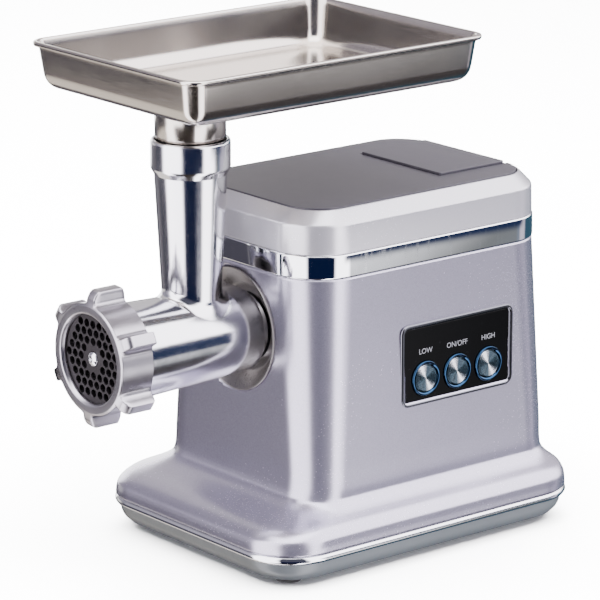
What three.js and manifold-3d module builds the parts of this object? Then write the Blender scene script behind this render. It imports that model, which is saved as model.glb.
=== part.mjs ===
// Electric meat grinder: an upright motor housing on a flared base, a cast grinding head with a
// feed tube and tray on its front, a control panel on its right side, and a gear train inside.
// Millimetres, +Z up. The head points to -Y and the control panel faces +X.
import * as THREE from 'three';
import { mergeVertices } from 'three/addons/utils/BufferGeometryUtils.js';
import Module from 'manifold-3d';

const wasm = await Module();
wasm.setup();

// ---------------------------------------------------------------- driving dimensions
const gap = 0.3;                 // clearance between touching pieces
const wall = 3;                  // moulded wall thickness

// housing: half sizes in X and Y at named heights; the base is centred on Y = 0
const bodyY = 16;                // the upright housing stands this far behind the base's centre
const foot = { radius: 9, height: 3.7, x: 78, front: -112, back: 108 };
const tub = { bottom: 4, top: 18.4, halfX: 106.5, halfY: 139.5, radius: 38, inset: 9 };
const strip = { bottom: 18.7, top: 25.1, halfX: 109, halfY: 142.3, radius: 39 };
const seam = { z: 25.4, halfX: 108.6, halfY: 141.8, radius: 38.5 };
const waist = { z: 72, halfX: 87, halfY: 113.4, radius: 28 };
const shoulder = { z: 208.4, halfX: 82, halfY: 112.2, radius: 36 };
const band = { bottom: 208.7, top: 225.2, halfX: 82.5, halfY: 112.4, radius: 36.2 };
const cap = { bottom: 225.5, edge: 246, top: 255.6, halfX: 81.8, halfY: 112, radius: 36 };
const deck = { top: 256.3, bottom: 252.6, halfX: 71, halfY: 101.2, radius: 27 };
const lid = { halfX: 43.6, front: 54, back: 115.6, top: 258, bottom: 255.4, corner: 2, edge: 0.5 };
const lidPin = { y: 112.3, z: 254.6, radius: 1.2, overhang: 3 };
const knuckle = { x: 26, halfLength: 7, halfY: 2.6, below: 2.4 };
const store = { halfX: 40.5, front: 58, back: 105.5, bottom: 217, radius: 8, wall: 2 };
const vent = { columns: [-24, -12, 0, 12, 24], halfWidth: 2, front: 30, back: 80, radius: 1.9 };
const gland = { x: 40, z: 92, hole: 7.3, sleeve: 6.9, bore: 3.6, front: 120, flange: 132.3,
  flangeRadius: 10, tip: 6, back: 141.5 };

// the flare between the waist and the seam: share of the overhang reached at each height
const flare = [[0, 72], [0.025, 57], [0.07, 52], [0.2, 48], [0.42, 44.4], [0.76, 40.2],
  [0.935, 35], [1, 25.4]];

// grinding head: its barrel lies along Y at headZ, its feed tube stands at tubeY
const headZ = 161;
const tubeY = -135;
const recess = { face: -98.4, floor: -85, outer: 44, lip: 41, inner: 30, hole: 24.6 };
const neck = { radius: 24, bore: 14.6, back: -86 };
const barrel = { back: -93, front: -216, backRadius: 30.3, frontRadius: 34, bore: 27.6,
  threadRadius: 35.8, threadBack: -199, seat: 34.9, seatBack: -205.5 };
const tube = { top: 281, topRadius: 25.2, lowZ: 196, lowRadius: 20.9, wallTop: 3.6, wallLow: 3.2 };
const collar = { bottom: 278.5, full: 283, top: 303, radius: 27.7, bore: 25.2, ledge: 285 };
const nut = { front: -224, back: -197.2, radius: 39.3, opening: 31, bore: 36.3, lip: 3.8,
  lugs: 6, lugTurn: -4, lugWidth: 8, lugHeight: 9.5, lugCorner: 3 };
const plate = { front: -219.7, thick: 6, radius: 34.5, holeRadius: 2.3, pitch: 7, hub: 8.5,
  edge: 30, bore: 6.3 };
const knife = { front: -213.3, thick: 6, radius: 30, arm: 11, hub: 13, square: 12.6 };
const screw = { back: -97.5, front: -205, radius: 26.9, core: 12.5, pitch: 27, thick: 4,
  square: 12, squareFront: -213.6, pin: 5.2, pinFront: -222 };
const drive = { flats: 13.4, socketFlats: 14.2, back: -74, sleeve: 13.4, sleeveFront: -92,
  socketBack: -73, journal: 9, bush: 12, bushFit: 12.3, plug: 8.4, bushBore: 8.7 };

// tray: a shallow pan with a rolled rim and a round stub that drops into the collar
const tray = { y: -75.4, halfX: 94, halfY: 130.5, rim: 366, floor: 332, radius: 14, sheet: 1.3,
  leastRadius: 8, stub: 24.8, stubBore: 23.4, stubBottom: 285.4 };

// the tray's section from the middle of its floor outwards, over the rolled rim and back inside:
// distance in from the rim's outline, and height above the floor or (second list) below the rim
const trayOutside = [[18.4, 0], [14.2, 1], [11, 3.4], [8.8, 7.4]];
const trayRim = [[4.6, -4.4], [2.4, -2.2], [1, -3.6], [0, -2.4], [0.3, -0.6], [1.6, 0],
  [3.6, -0.6], [5.6, -2.6]];

// gear train, all axes parallel to Y: 42 : 10 teeth, then 40 : 8 teeth
const outputGear = { teeth: 42, module: 2.5, back: -60, thick: 11 };
const idlerPinion = { teeth: 10, module: 2.5 };
const idlerWheel = { teeth: 40, module: 1.5, back: -50, thick: 7 };
const motorPinion = { teeth: 8, module: 1.5 };
const idlerShaft = { radius: 2.9, bore: 3.2, wheelBore: 3.3 };
const idlerZ = headZ - (outputGear.teeth + idlerPinion.teeth) * outputGear.module / 2;
const motorZ = idlerZ - (idlerWheel.teeth + motorPinion.teeth) * idlerWheel.module / 2;
const gearbox = { front: -79, back: -47.3, wall: 3, halfX: 59, top: 221, bottom: 46, cover: 3,
  radius: 50, motorHole: 8.5 };
const motor = { front: -40, back: 38, radius: 30, wall: 3, armature: 19, armatureInset: 12,
  armatureBack: 24, shaft: 3, shaftHole: 5, shaftBack: 62, endPlate: 4 };
const cradle = { halfX: 26, inset: 12, belowAxis: 8 };
const fan = { front: 46, back: 58, radius: 27, hub: 8, root: 7, blades: 8, blade: 1.6, pitch: 0.5 };

// control panel on the +X side
const panel = { y: 35.4, z: 136, halfY: 52.5, halfZ: 30.2, radius: 7, rim: 3.6, edge: 0.9,
  outer: 86.3, inner: 79, sunk: 1.4 };
const button = { pitch: 29.4, z: 124.9, ring: 12.7, ringBore: 10.3, ringBack: 80, radius: 9.9,
  travel: 2, face: 86.2, capBack: 80.4, stem: 4, stemBack: 72 };
const boardSize = { inner: 59.6, outer: 61.2, halfY: 46, halfZ: 24, switchHalf: 6, switchGap: 0.6 };

// the whole object is shifted so that its box is centred on the origin
const frontY = nut.front;
const backY = strip.halfY;
const centreY = (frontY + backY) / 2;

// ---------------------------------------------------------------- finishes
const finish = (color, roughness, metalness) =>
  new THREE.MeshStandardMaterial({ color, roughness, metalness });
const paint = finish(0xc4c0d0, 0.38, 0.35);
const chrome = finish(0xd8dade, 0.08, 1);
const capPaint = finish(0xc8c6d2, 0.34, 0.4);
const deckPlastic = finish(0x6e6a78, 0.45, 0.1);
const basePlastic = finish(0x96a0a0, 0.5, 0.1);
const rubber = finish(0x1b1b1d, 0.9, 0);
const glossBlack = finish(0x08080a, 0.08, 0);
const castAluminium = finish(0xcfd2d6, 0.16, 1);
const steel = finish(0xb9bbbd, 0.3, 1);
const brushed = finish(0xb4afa8, 0.32, 1);
const nylon = finish(0xe6e2d4, 0.5, 0);
const darkPlastic = finish(0x2b2c30, 0.55, 0);
const board = finish(0x2f6a3c, 0.6, 0);
const copper = finish(0xb06a3a, 0.4, 0.8);

// ---------------------------------------------------------------- geometry helpers
// One closed surface with shared vertices, no collapsed triangles and its faces pointing out.
function clean(geometry) {
  let g = geometry.index ? geometry : geometry.clone();
  g.deleteAttribute('normal');
  g.deleteAttribute('uv');
  g = mergeVertices(g, 1e-4);
  const index = g.index.array;
  const p = g.attributes.position;
  const kept = [];
  let volume = 0;
  const [a, b, c] = [new THREE.Vector3(), new THREE.Vector3(), new THREE.Vector3()];
  for (let i = 0; i < index.length; i += 3) {
    const [u, v, w] = [index[i], index[i + 1], index[i + 2]];
    if (u === v || v === w || w === u) continue;
    kept.push(u, v, w);
    volume += a.fromBufferAttribute(p, u).dot(
      b.fromBufferAttribute(p, v).cross(c.fromBufferAttribute(p, w)));
  }
  if (volume < 0) kept.reverse();
  g.setIndex(kept);
  return g;
}

function toSolid(geometry) {
  const g = clean(geometry);
  return new wasm.Manifold(new wasm.Mesh({
    numProp: 3,
    vertProperties: new Float32Array(g.attributes.position.array),
    triVerts: new Uint32Array(g.index.array),
  }));
}

function toGeometry(solid) {
  const m = solid.getMesh();
  const g = new THREE.BufferGeometry();
  g.setAttribute('position', new THREE.BufferAttribute(new Float32Array(m.vertProperties), 3));
  g.setIndex(new THREE.BufferAttribute(new Uint32Array(m.triVerts), 1));
  return g;
}

// The base geometry with the added ones joined to it and then the cut ones taken away.
function carve(base, cuts = [], adds = []) {
  let solid = toSolid(base);
  for (const g of adds) solid = solid.add(toSolid(g));
  for (const g of cuts) solid = solid.subtract(toSolid(g));
  return toGeometry(solid);
}

// A closed skin over rings of points, listed counter-clockwise from above and going up. The last
// ring joins the first one when the skin closes on itself; otherwise both ends get a flat cap.
function skin(rings, closed = false) {
  const n = rings[0].length;
  const positions = rings.flat().flatMap(v => [v.x, v.y, v.z]);
  const index = [];
  const strips = closed ? rings.length : rings.length - 1;
  for (let r = 0; r < strips; r++) {
    const [low, high] = [r * n, ((r + 1) % rings.length) * n];
    for (let i = 0; i < n; i++) {
      const j = (i + 1) % n;
      index.push(low + i, low + j, high + j, low + i, high + j, high + i);
    }
  }
  const last = (rings.length - 1) * n;
  for (let i = 1; !closed && i < n - 1; i++) {
    index.push(0, i + 1, i, last, last + i, last + i + 1);
  }
  const g = new THREE.BufferGeometry();
  g.setAttribute('position', new THREE.Float32BufferAttribute(positions, 3));
  g.setIndex(index);
  return clean(g);
}

// A ring of points round a rectangle with round corners.
function ring(halfX, halfY, radius, z, y = 0, perCorner = 5) {
  const points = [];
  for (let corner = 0; corner < 4; corner++) {
    const sx = corner === 0 || corner === 3 ? 1 : -1;
    const sy = corner < 2 ? 1 : -1;
    for (let i = 0; i <= perCorner; i++) {
      const t = (corner + i / perCorner) * Math.PI / 2;
      points.push(new THREE.Vector3(sx * (halfX - radius) + radius * Math.cos(t),
        y + sy * (halfY - radius) + radius * Math.sin(t), z));
    }
  }
  return points;
}

function roundedShape(x0, y0, x1, y1, r) {
  const s = new THREE.Shape();
  s.moveTo(x0 + r, y0).lineTo(x1 - r, y0).absarc(x1 - r, y0 + r, r, -Math.PI / 2, 0, false);
  s.lineTo(x1, y1 - r).absarc(x1 - r, y1 - r, r, 0, Math.PI / 2, false);
  s.lineTo(x0 + r, y1).absarc(x0 + r, y1 - r, r, Math.PI / 2, Math.PI, false);
  s.lineTo(x0, y0 + r).absarc(x0 + r, y0 + r, r, Math.PI, Math.PI * 1.5, false);
  return s;
}

const extrude = (shape, depth, segments = 5, bevel = 0) => new THREE.ExtrudeGeometry(shape, {
  depth: depth - 2 * bevel, curveSegments: segments, bevelEnabled: bevel > 0, bevelSize: bevel,
  bevelThickness: bevel, bevelOffset: -bevel, bevelSegments: 1,
}).translate(0, 0, bevel);

// A shape drawn in Y and Z, seen from +X, and extruded from x0 to x1.
const extrudeX = (shape, x0, x1, segments, bevel) =>
  extrude(shape, x1 - x0, segments, bevel).rotateY(Math.PI / 2).rotateX(Math.PI / 2)
    .translate(x0, 0, 0);

// A shape drawn in X and Z, seen from -Y, and extruded forward from yBack.
const extrudeForward = (shape, yBack, depth, segments) =>
  extrude(shape, depth, segments).rotateX(Math.PI / 2).translate(0, yBack, 0);

// A solid of revolution about Y at a height: the profile is a closed loop of [radius, y].
function latheY(profile, z, x = 0, segments = 32) {
  const points = [...profile, profile[0]].map(([r, y]) => new THREE.Vector2(r, y));
  return clean(new THREE.LatheGeometry(points, segments).translate(x, 0, z));
}

// The same about a vertical axis: the profile is a closed loop of [radius, z].
function latheZ(profile, x, y, segments = 32) {
  const points = [...profile, profile[0]].map(([r, z]) => new THREE.Vector2(r, z));
  return clean(new THREE.LatheGeometry(points, segments).rotateX(Math.PI / 2)
    .translate(x, y, 0));
}

// The same about an axis along X: the profile is a closed loop of [radius, x].
function latheX(profile, y, z, segments = 20) {
  const points = [...profile, profile[0]].map(([r, x]) => new THREE.Vector2(r, -x));
  return clean(new THREE.LatheGeometry(points, segments).rotateZ(Math.PI / 2).translate(0, y, z));
}

const discY = (r, y0, y1, z, segments = 28, x = 0) =>
  latheY([[0, y0], [r, y0], [r, y1], [0, y1]], z, x, segments);
const discX = (r, x0, x1, y, z, segments = 20) =>
  latheX([[0, x0], [r, x0], [r, x1], [0, x1]], y, z, segments);
const sleeveY = (outer, inner, y0, y1, z, segments = 24) =>
  latheY([[inner, y0], [outer, y0], [outer, y1], [inner, y1]], z, 0, segments);
const box = (x0, x1, y0, y1, z0, z1) => new THREE.BoxGeometry(x1 - x0, y1 - y0, z1 - z0)
  .translate((x0 + x1) / 2, (y0 + y1) / 2, (z0 + z1) / 2);

// A regular polygon prism along Y, flats wide across its flats.
function prismY(sides, flats, y0, y1, z) {
  const r = flats / 2 / Math.cos(Math.PI / sides);
  const s = new THREE.Shape();
  for (let i = 0; i < sides; i++) {
    const t = (i + 0.5) / sides * 2 * Math.PI;
    s[i ? 'lineTo' : 'moveTo'](r * Math.cos(t), r * Math.sin(t));
  }
  return extrudeForward(s, Math.max(y0, y1), Math.abs(y1 - y0), 1).translate(0, 0, z);
}

// Involute gear outline with a tooth centred on the +X direction, turned by phase.
function gearShape({ teeth, module }, phase, bore) {
  const pressure = 25 * Math.PI / 180;
  const backlash = 0.28;
  const pitchR = teeth * module / 2;
  const baseR = pitchR * Math.cos(pressure);
  const rootR = pitchR - 1.2 * module;
  const tipR = pitchR + 0.78 * module;
  const involute = r => (r <= baseR ? 0 : Math.sqrt((r / baseR) ** 2 - 1) - Math.acos(baseR / r));
  const halfAtPitch = (Math.PI * module / 2 - backlash) / 2 / pitchR;
  const half = r => halfAtPitch + involute(pitchR) - involute(r);
  const radii = [rootR, pitchR, tipR];
  const s = new THREE.Shape();
  for (let k = 0; k < teeth; k++) {
    const middle = phase + k * 2 * Math.PI / teeth;
    const flank = [...radii.map(r => [r, -half(r)]), ...radii.map(r => [r, half(r)]).reverse()];
    flank.forEach(([r, t], i) => {
      s[k || i ? 'lineTo' : 'moveTo'](r * Math.cos(middle + t), r * Math.sin(middle + t));
    });
  }
  s.closePath();
  if (bore) s.holes.push(new THREE.Path().absarc(0, 0, bore, 0, 2 * Math.PI, true));
  return s;
}

const gear = (spec, phase, bore, yBack, thick, z) =>
  extrudeForward(gearShape(spec, phase, bore), yBack, thick, 8).translate(0, 0, z);

// ---------------------------------------------------------------- the assembly
const grinder = new THREE.Group();
grinder.position.y = -centreY;

function add(name, geometry, material) {
  const mesh = new THREE.Mesh(clean(geometry), material);
  mesh.name = name;
  grinder.add(mesh);
}

// ---- housing
// Outer section of the housing at each step of the flare and up to the shoulder, moved in by t.
function housingRings(t) {
  const mix = (a, b, s) => a + (b - a) * s;
  const rings = [...flare].reverse().map(([s, z]) => ring(mix(waist.halfX, seam.halfX, s) - t,
    mix(waist.halfY, seam.halfY, s) - t, mix(waist.radius, seam.radius, s) - t, z,
    mix(bodyY, 0, s)));
  rings.push(ring(shoulder.halfX - t, shoulder.halfY - t, shoulder.radius - t, shoulder.z, bodyY));
  return rings;
}

function bodyShell() {
  const shell = skin([...housingRings(0), ...housingRings(wall).reverse()], true);
  const { y, z, halfY, halfZ, radius } = panel;
  const window = roundedShape(y - halfY - gap, z - halfZ - gap, y + halfY + gap, z + halfZ + gap,
    radius + gap);
  return carve(shell, [
    discY(recess.outer + gap, recess.face - 8, recess.face + 12, headZ, 40),
    extrudeX(window, 70, 100, 5),
    discY(gland.hole, gland.front - 10, gland.back + 10, gland.z, 20, gland.x),
  ]);
}

// A closed frame that follows the housing's outline: each step of its profile is the distance
// that the outline of the given piece moves in, and a height.
function hoop({ halfX, halfY, radius }, profile) {
  const rings = profile.map(([t, z]) =>
    ring(halfX - t, halfY - t, Math.max(radius - t, 4), z, bodyY));
  return skin(rings, true);
}

function trimBand() {
  const { bottom, top } = band;
  return hoop(band, [[0.6, bottom], [0, bottom + 0.8], [0.2, top - 0.8], [0.8, top], [4, top],
    [4, bottom]]);
}

function topCap() {
  const rim = cap.halfX - deck.halfX - gap;
  return hoop(cap, [[0, cap.bottom], [0.3, cap.edge - 0.8], [0.9, cap.edge + 0.4],
    [rim - 0.8, cap.top], [rim, cap.top], [rim, deck.bottom - 0.5], [4, cap.edge - 2.5],
    [4, cap.bottom]]);
}

// The deck plate lies in the cap and keeps a notch for the lid and its storage well.
function topDeck() {
  const { halfX, halfY, radius, top, bottom } = deck;
  const plateRings = [[0, bottom], [0, top - 0.7], [0.7, top]].map(([t, z]) =>
    ring(halfX - t, halfY - t, radius - t, z, bodyY));
  const notch = box(-lid.halfX - 0.5, lid.halfX + 0.5, lid.front - 0.6, lid.back + 25,
    bottom - 10, top + 10);
  const pinReach = lid.halfX + lidPin.overhang + 1;
  const pinHole = discX(lidPin.radius + gap, -pinReach, pinReach, lidPin.y, lidPin.z, 12);
  return carve(skin(plateRings), [notch, pinHole]);
}

function compartmentLid() {
  const { halfLength, halfY, below } = knuckle;
  const slab = extrude(roundedShape(-lid.halfX, lid.front, lid.halfX, lid.back, lid.corner),
    lid.top - lid.bottom, 3, lid.edge).translate(0, 0, lid.bottom);
  const knuckles = [-knuckle.x, knuckle.x].map(x => box(x - halfLength, x + halfLength,
    lidPin.y - halfY, lidPin.y + halfY, lidPin.z - below, lid.bottom + 0.6));
  const bore = discX(lidPin.radius + gap, -lid.halfX, lid.halfX, lidPin.y, lidPin.z, 12);
  return carve(slab, [bore], knuckles);
}

function compartmentTub() {
  const { halfX, front, back, bottom, radius, wall: t } = store;
  const y = (front + back) / 2;
  const halfY = (back - front) / 2;
  const top = deck.bottom - gap;
  const steps = [[2, bottom], [0, bottom + 2], [0, top], [t, top], [t, bottom + 3],
    [t + 1, bottom + t]];
  return skin(steps.map(([inset, z]) =>
    ring(halfX - inset, halfY - inset, radius - inset, z, y, 3)));
}

function baseStrip() {
  const { bottom, top, halfX, halfY, radius } = strip;
  const outer = [[0.8, bottom], [0, bottom + 1.2], [0, top - 1.2], [0.8, top]];
  const rings = outer.map(([t, z]) => ring(halfX - t, halfY - t, radius - t, z));
  const inner = [top, bottom].map(z => ring(halfX - 5, halfY - 5, radius - 5, z));
  return skin([...rings, ...inner], true);
}

function baseTub() {
  const { bottom, top, halfX, halfY, radius, inset } = tub;
  const outer = [[inset, bottom], [inset * 0.45, bottom + 2.4], [inset * 0.12, bottom + 7],
    [0, top]];
  const rings = outer.map(([t, z]) => ring(halfX - t, halfY - t, radius - t, z));
  rings.push(ring(halfX - wall, halfY - wall, radius - wall, top));
  rings.push(ring(halfX - inset - wall, halfY - inset - wall, radius - inset, bottom + wall));
  const slots = vent.columns.map(x => extrude(roundedShape(x - vent.halfWidth, vent.front,
    x + vent.halfWidth, vent.back, vent.radius), bottom + wall + 1, 2));
  return carve(skin(rings), slots);
}

add('body_shell', bodyShell(), paint);
add('trim_band', trimBand(), chrome);
add('top_cap', topCap(), capPaint);
add('top_deck', topDeck(), deckPlastic);
add('compartment_lid', compartmentLid(), deckPlastic);
add('compartment_tub', compartmentTub(), darkPlastic);
add('lid_hinge_pin', discX(lidPin.radius, -lid.halfX - lidPin.overhang,
  lid.halfX + lidPin.overhang, lidPin.y, lidPin.z, 12), steel);
add('base_trim_strip', baseStrip(), chrome);
add('base_tub', baseTub(), basePlastic);
for (const [side, x] of [['left', -foot.x], ['right', foot.x]]) {
  for (const [end, y] of [['front', foot.front], ['back', foot.back]]) {
    add(`foot_${end}_${side}`, latheZ([[0, 0], [foot.radius - 1, 0], [foot.radius, 1],
      [foot.radius + 0.6, foot.height], [0, foot.height]], x, y, 20), rubber);
  }
}
add('cord_gland', latheY([[gland.bore, gland.front], [gland.sleeve, gland.front],
  [gland.sleeve, gland.flange], [gland.flangeRadius, gland.flange],
  [gland.flangeRadius, gland.flange + 1.7], [gland.tip, gland.back], [gland.bore, gland.back]],
gland.z, gland.x, 24), darkPlastic);

// ---- grinding head socket on the housing
add('head_socket_ring', latheY([[recess.outer, recess.face + 1.2], [recess.outer - 1, recess.face],
  [recess.lip, recess.face + 0.4], [recess.inner + 1, recess.floor],
  [recess.hole, recess.floor], [recess.hole, recess.floor + 3],
  [recess.inner + 3, recess.floor + 3], [recess.outer, recess.face + 5]], headZ, 0, 40), brushed);

// ---- grinding head
function headCasting() {
  const b = barrel;
  const t = tube;
  const outerBarrel = latheY([[0, neck.back], [neck.radius, neck.back], [neck.radius, b.back],
    [b.backRadius - 1.5, b.back], [b.backRadius, b.back - 1.5], [b.frontRadius, b.threadBack + 3],
    [b.threadRadius, b.threadBack], [b.threadRadius, b.front], [0, b.front]], headZ);
  const outerTube = latheZ([[0, headZ], [t.lowRadius - 0.6, headZ], [t.lowRadius, t.lowZ],
    [t.topRadius, collar.bottom], [collar.radius, collar.full], [collar.radius, collar.top - 1.2],
    [collar.radius - 1.2, collar.top], [0, collar.top]], 0, tubeY);
  const bore = latheY([[0, b.back - 5], [b.bore, b.back - 5], [b.bore, b.seatBack],
    [b.seat, b.seatBack], [b.seat, b.front - 5], [0, b.front - 5]], headZ);
  const driveBore = discY(neck.bore, -70, b.back - 10, headZ, 24);
  const throat = latheZ([[0, headZ], [t.lowRadius - t.wallLow, headZ],
    [t.topRadius - t.wallTop, t.top], [t.topRadius - t.wallTop, collar.ledge],
    [collar.bore, collar.ledge], [collar.bore, collar.top + 5], [0, collar.top + 5]], 0, tubeY);
  return carve(outerBarrel, [bore, driveBore, throat], [outerTube]);
}

// A flight of rectangular section wound round the core, joined to the core and its two ends.
function augerGeometry() {
  const s = screw;
  const perTurn = 14;
  const start = s.back - 4;
  const steps = Math.floor((start - s.front) / s.pitch * perTurn);
  const rings = [];
  for (let i = 0; i <= steps; i++) {
    const t = i / perTurn * 2 * Math.PI;
    const y = start - s.pitch * i / perTurn;
    const r = s.radius * Math.min(1, 0.55 + i / perTurn);
    const at = (radius, dy) =>
      new THREE.Vector3(radius * Math.cos(t), y + dy, headZ + radius * Math.sin(t));
    rings.push([at(s.core - 3, -s.thick / 2), at(r, -s.thick / 2 + 0.8), at(r, s.thick / 2 - 0.8),
      at(s.core - 3, s.thick / 2)]);
  }
  const core = latheY([[0, s.back], [s.core, s.back], [s.core, s.front - 1.5],
    [s.core - 1.5, s.front - 2], [0, s.front - 2]], headZ, 0, 24);
  return carve(core, [], [skin(rings), discY(drive.plug, s.back + 4, s.back - 2, headZ, 20),
    prismY(6, drive.flats, drive.back - 6, s.back, headZ),
    prismY(4, s.square, s.front, s.squareFront, headZ),
    discY(s.pin, s.squareFront + 2, s.pinFront, headZ, 16)]);
}

function knifeGeometry() {
  const s = new THREE.Shape();
  for (let k = 0; k < 4; k++) {
    const a = k * Math.PI / 2;
    const at = (r, t) => [r * Math.cos(a + t), r * Math.sin(a + t)];
    const w = knife.arm / 2;
    s[k ? 'lineTo' : 'moveTo'](...at(Math.hypot(knife.hub, w), -Math.atan2(w, knife.hub)));
    const lead = knife.radius - 0.8;
    const trail = knife.radius - 2.4;
    s.lineTo(...at(Math.hypot(lead, w), -Math.atan2(w, lead)));
    s.lineTo(...at(Math.hypot(trail, w / 2), Math.atan2(w / 2, trail)));
    s.lineTo(...at(Math.hypot(knife.hub, w), Math.atan2(w, knife.hub)));
  }
  s.closePath();
  const h = knife.square / 2;
  const square = [[-h, -h], [-h, h], [h, h], [h, -h]].map(([x, y]) => new THREE.Vector2(x, y));
  s.holes.push(new THREE.Path(square));
  return extrudeForward(s, knife.front + knife.thick, knife.thick, 1).translate(0, 0, headZ);
}

function cuttingPlate() {
  const s = new THREE.Shape();
  const rim = 32;
  for (let i = 0; i < rim; i++) {
    const t = i / rim * 2 * Math.PI;
    s[i ? 'lineTo' : 'moveTo'](plate.radius * Math.cos(t), plate.radius * Math.sin(t));
  }
  s.closePath();
  s.holes.push(new THREE.Path().absarc(0, 0, plate.bore, 0, 2 * Math.PI, true));
  const rows = Math.ceil(plate.edge / plate.pitch) + 1;
  for (let row = -rows; row <= rows; row++) {
    for (let column = -rows; column <= rows; column++) {
      const x = (column + (row % 2 ? 0.5 : 0)) * plate.pitch;
      const y = row * plate.pitch * Math.sqrt(3) / 2;
      const r = Math.hypot(x, y);
      if (r < plate.hub || r > plate.edge) continue;
      s.holes.push(new THREE.Path().absarc(x, y, plate.holeRadius, 0, 2 * Math.PI, true));
    }
  }
  return extrudeForward(s, plate.front + plate.thick, plate.thick, 3).translate(0, 0, headZ);
}

function ringNut() {
  const n = nut;
  const body = latheY([[n.opening, n.front + 0.8], [n.opening + 0.8, n.front],
    [n.radius - 2, n.front], [n.radius, n.front + 2], [n.radius, n.back - 1.5],
    [n.radius - 1.2, n.back], [n.bore, n.back], [n.bore, n.front + n.lip],
    [n.opening, n.front + n.lip]], headZ, 0, 36);
  // each lug is a tab along the nut, drawn in Y and Z on top of the rim and turned into place
  const tab = roundedShape(n.front + 1.5, n.radius - 2.5, n.back - 0.8, n.radius + n.lugHeight,
    n.lugCorner);
  const lugs = [];
  for (let k = 0; k < n.lugs; k++) {
    const turn = (n.lugTurn + k * 360 / n.lugs) * Math.PI / 180;
    lugs.push(extrudeX(tab, -n.lugWidth / 2, n.lugWidth / 2, 2).rotateY(-turn)
      .translate(0, 0, headZ));
  }
  return carve(body, [], lugs);
}

function feedTray() {
  const { y, halfX, halfY, rim, floor, radius, sheet, leastRadius } = tray;
  const at = (t, z) => ring(halfX - t, halfY - t, Math.max(radius - t / 2, leastRadius), z, y);
  const pan = skin([...trayOutside.map(([t, up]) => at(t, floor + up)),
    ...trayRim.map(([t, up]) => at(t, rim + up)),
    ...[...trayOutside].reverse().map(([t, up]) => at(t + sheet * 0.8, floor + up + sheet))]);
  const stub = latheZ([[0, tray.stubBottom], [tray.stub, tray.stubBottom], [tray.stub, floor + 0.8],
    [0, floor + 0.8]], 0, tubeY);
  const bore = latheZ([[0, tray.stubBottom - 5], [tray.stubBore, tray.stubBottom - 5],
    [tray.stubBore, floor - 3], [tray.stubBore + 1.4, floor + 5], [0, floor + 5]], 0, tubeY);
  return carve(pan, [bore], [stub]);
}

add('head_casting', headCasting(), castAluminium);
add('auger', augerGeometry(), castAluminium);
add('auger_bush', sleeveY(neck.bore - gap, drive.bushBore, barrel.back - 4.4, barrel.back + 0.5,
  headZ), nylon);
add('cutter_knife', knifeGeometry(), steel);
add('cutting_plate', cuttingPlate(), steel);
add('ring_nut', ringNut(), castAluminium);
add('feed_tray', feedTray(), brushed);

// ---- drive train
const downwards = -Math.PI / 2;
const upwards = Math.PI / 2;
const frontOf = g => g.back - g.thick;

function outputShaft() {
  const { sleeve, sleeveFront, journal, socketFlats, socketBack } = drive;
  const shaft = latheY([[0, sleeveFront], [sleeve, sleeveFront], [sleeve, gearbox.front - 2],
    [journal, gearbox.front - 2], [journal, gearbox.back + 1], [0, gearbox.back + 1]],
  headZ, 0, 28);
  return carve(shaft, [prismY(6, socketFlats, sleeveFront - 4, socketBack - 3, headZ)]);
}

function gearboxHousing() {
  const g = gearbox;
  const outline = t => ring(g.halfX - t, (g.top - g.bottom) / 2 - t, g.radius - t, 0,
    (g.top + g.bottom) / 2, 6);
  const turn = (points, y) => points.map(v => new THREE.Vector3(v.x, y, v.y));
  const cup = skin([turn(outline(0), g.front), turn(outline(0), g.back),
    turn(outline(g.wall), g.back), turn(outline(g.wall), g.front + g.wall)]);
  return carve(cup, [discY(drive.bushFit, g.front - 5, g.front + 10, headZ, 24),
    discY(idlerShaft.bore, g.front - 5, g.front + 10, idlerZ, 12)]);
}

function gearboxCover() {
  const g = gearbox;
  const plateShape = roundedShape(-g.halfX, g.bottom, g.halfX, g.top, g.radius);
  const slab = extrudeForward(plateShape, g.back + gap + g.cover, g.cover, 6);
  return carve(slab, [discY(drive.bushFit, g.back - 5, g.back + 10, headZ, 24),
    discY(idlerShaft.bore, g.back - 5, g.back + 10, idlerZ, 12),
    discY(g.motorHole, g.back - 5, g.back + 10, motorZ, 20)]);
}

function idlerGear() {
  const wheel = gear(idlerWheel, downwards, 0, idlerWheel.back, idlerWheel.thick, idlerZ);
  const pinionPhase = upwards + Math.PI / idlerPinion.teeth;
  const pinionBack = frontOf(idlerWheel) + 0.5;
  const length = pinionBack - frontOf(outputGear) + 2.5;
  const pinion = gear(idlerPinion, pinionPhase, 0, pinionBack, length, idlerZ);
  const bore = discY(idlerShaft.wheelBore, gearbox.front, gearbox.back + 10, idlerZ, 16);
  return carve(wheel, [bore], [pinion]);
}

function motorCan() {
  const m = motor;
  const can = latheY([[0, m.front], [m.radius, m.front], [m.radius, m.back],
    [m.radius - m.wall, m.back], [m.radius - m.wall, m.front + m.wall], [0, m.front + m.wall]],
  motorZ, 0, 32);
  return carve(can, [discY(m.shaftHole, m.front - 5, m.front + 10, motorZ, 16)]);
}

function motorCradle() {
  const m = motor;
  const block = box(-cradle.halfX, cradle.halfX, m.front + cradle.inset, m.back - cradle.inset,
    tub.bottom + wall + gap, motorZ - cradle.belowAxis);
  return carve(block, [discY(m.radius + gap, m.front, m.back, motorZ, 32)]);
}

function fanGeometry() {
  const hub = sleeveY(fan.hub, motor.shaft + gap, fan.front, fan.back, motorZ, 20);
  const blades = [];
  for (let k = 0; k < fan.blades; k++) {
    blades.push(new THREE.BoxGeometry(fan.radius - fan.root, fan.back - fan.front - 1, fan.blade)
      .rotateX(fan.pitch).translate((fan.radius + fan.root) / 2, (fan.front + fan.back) / 2, 0)
      .rotateY(k * 2 * Math.PI / fan.blades).translate(0, 0, motorZ));
  }
  return carve(hub, [], blades);
}

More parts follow.
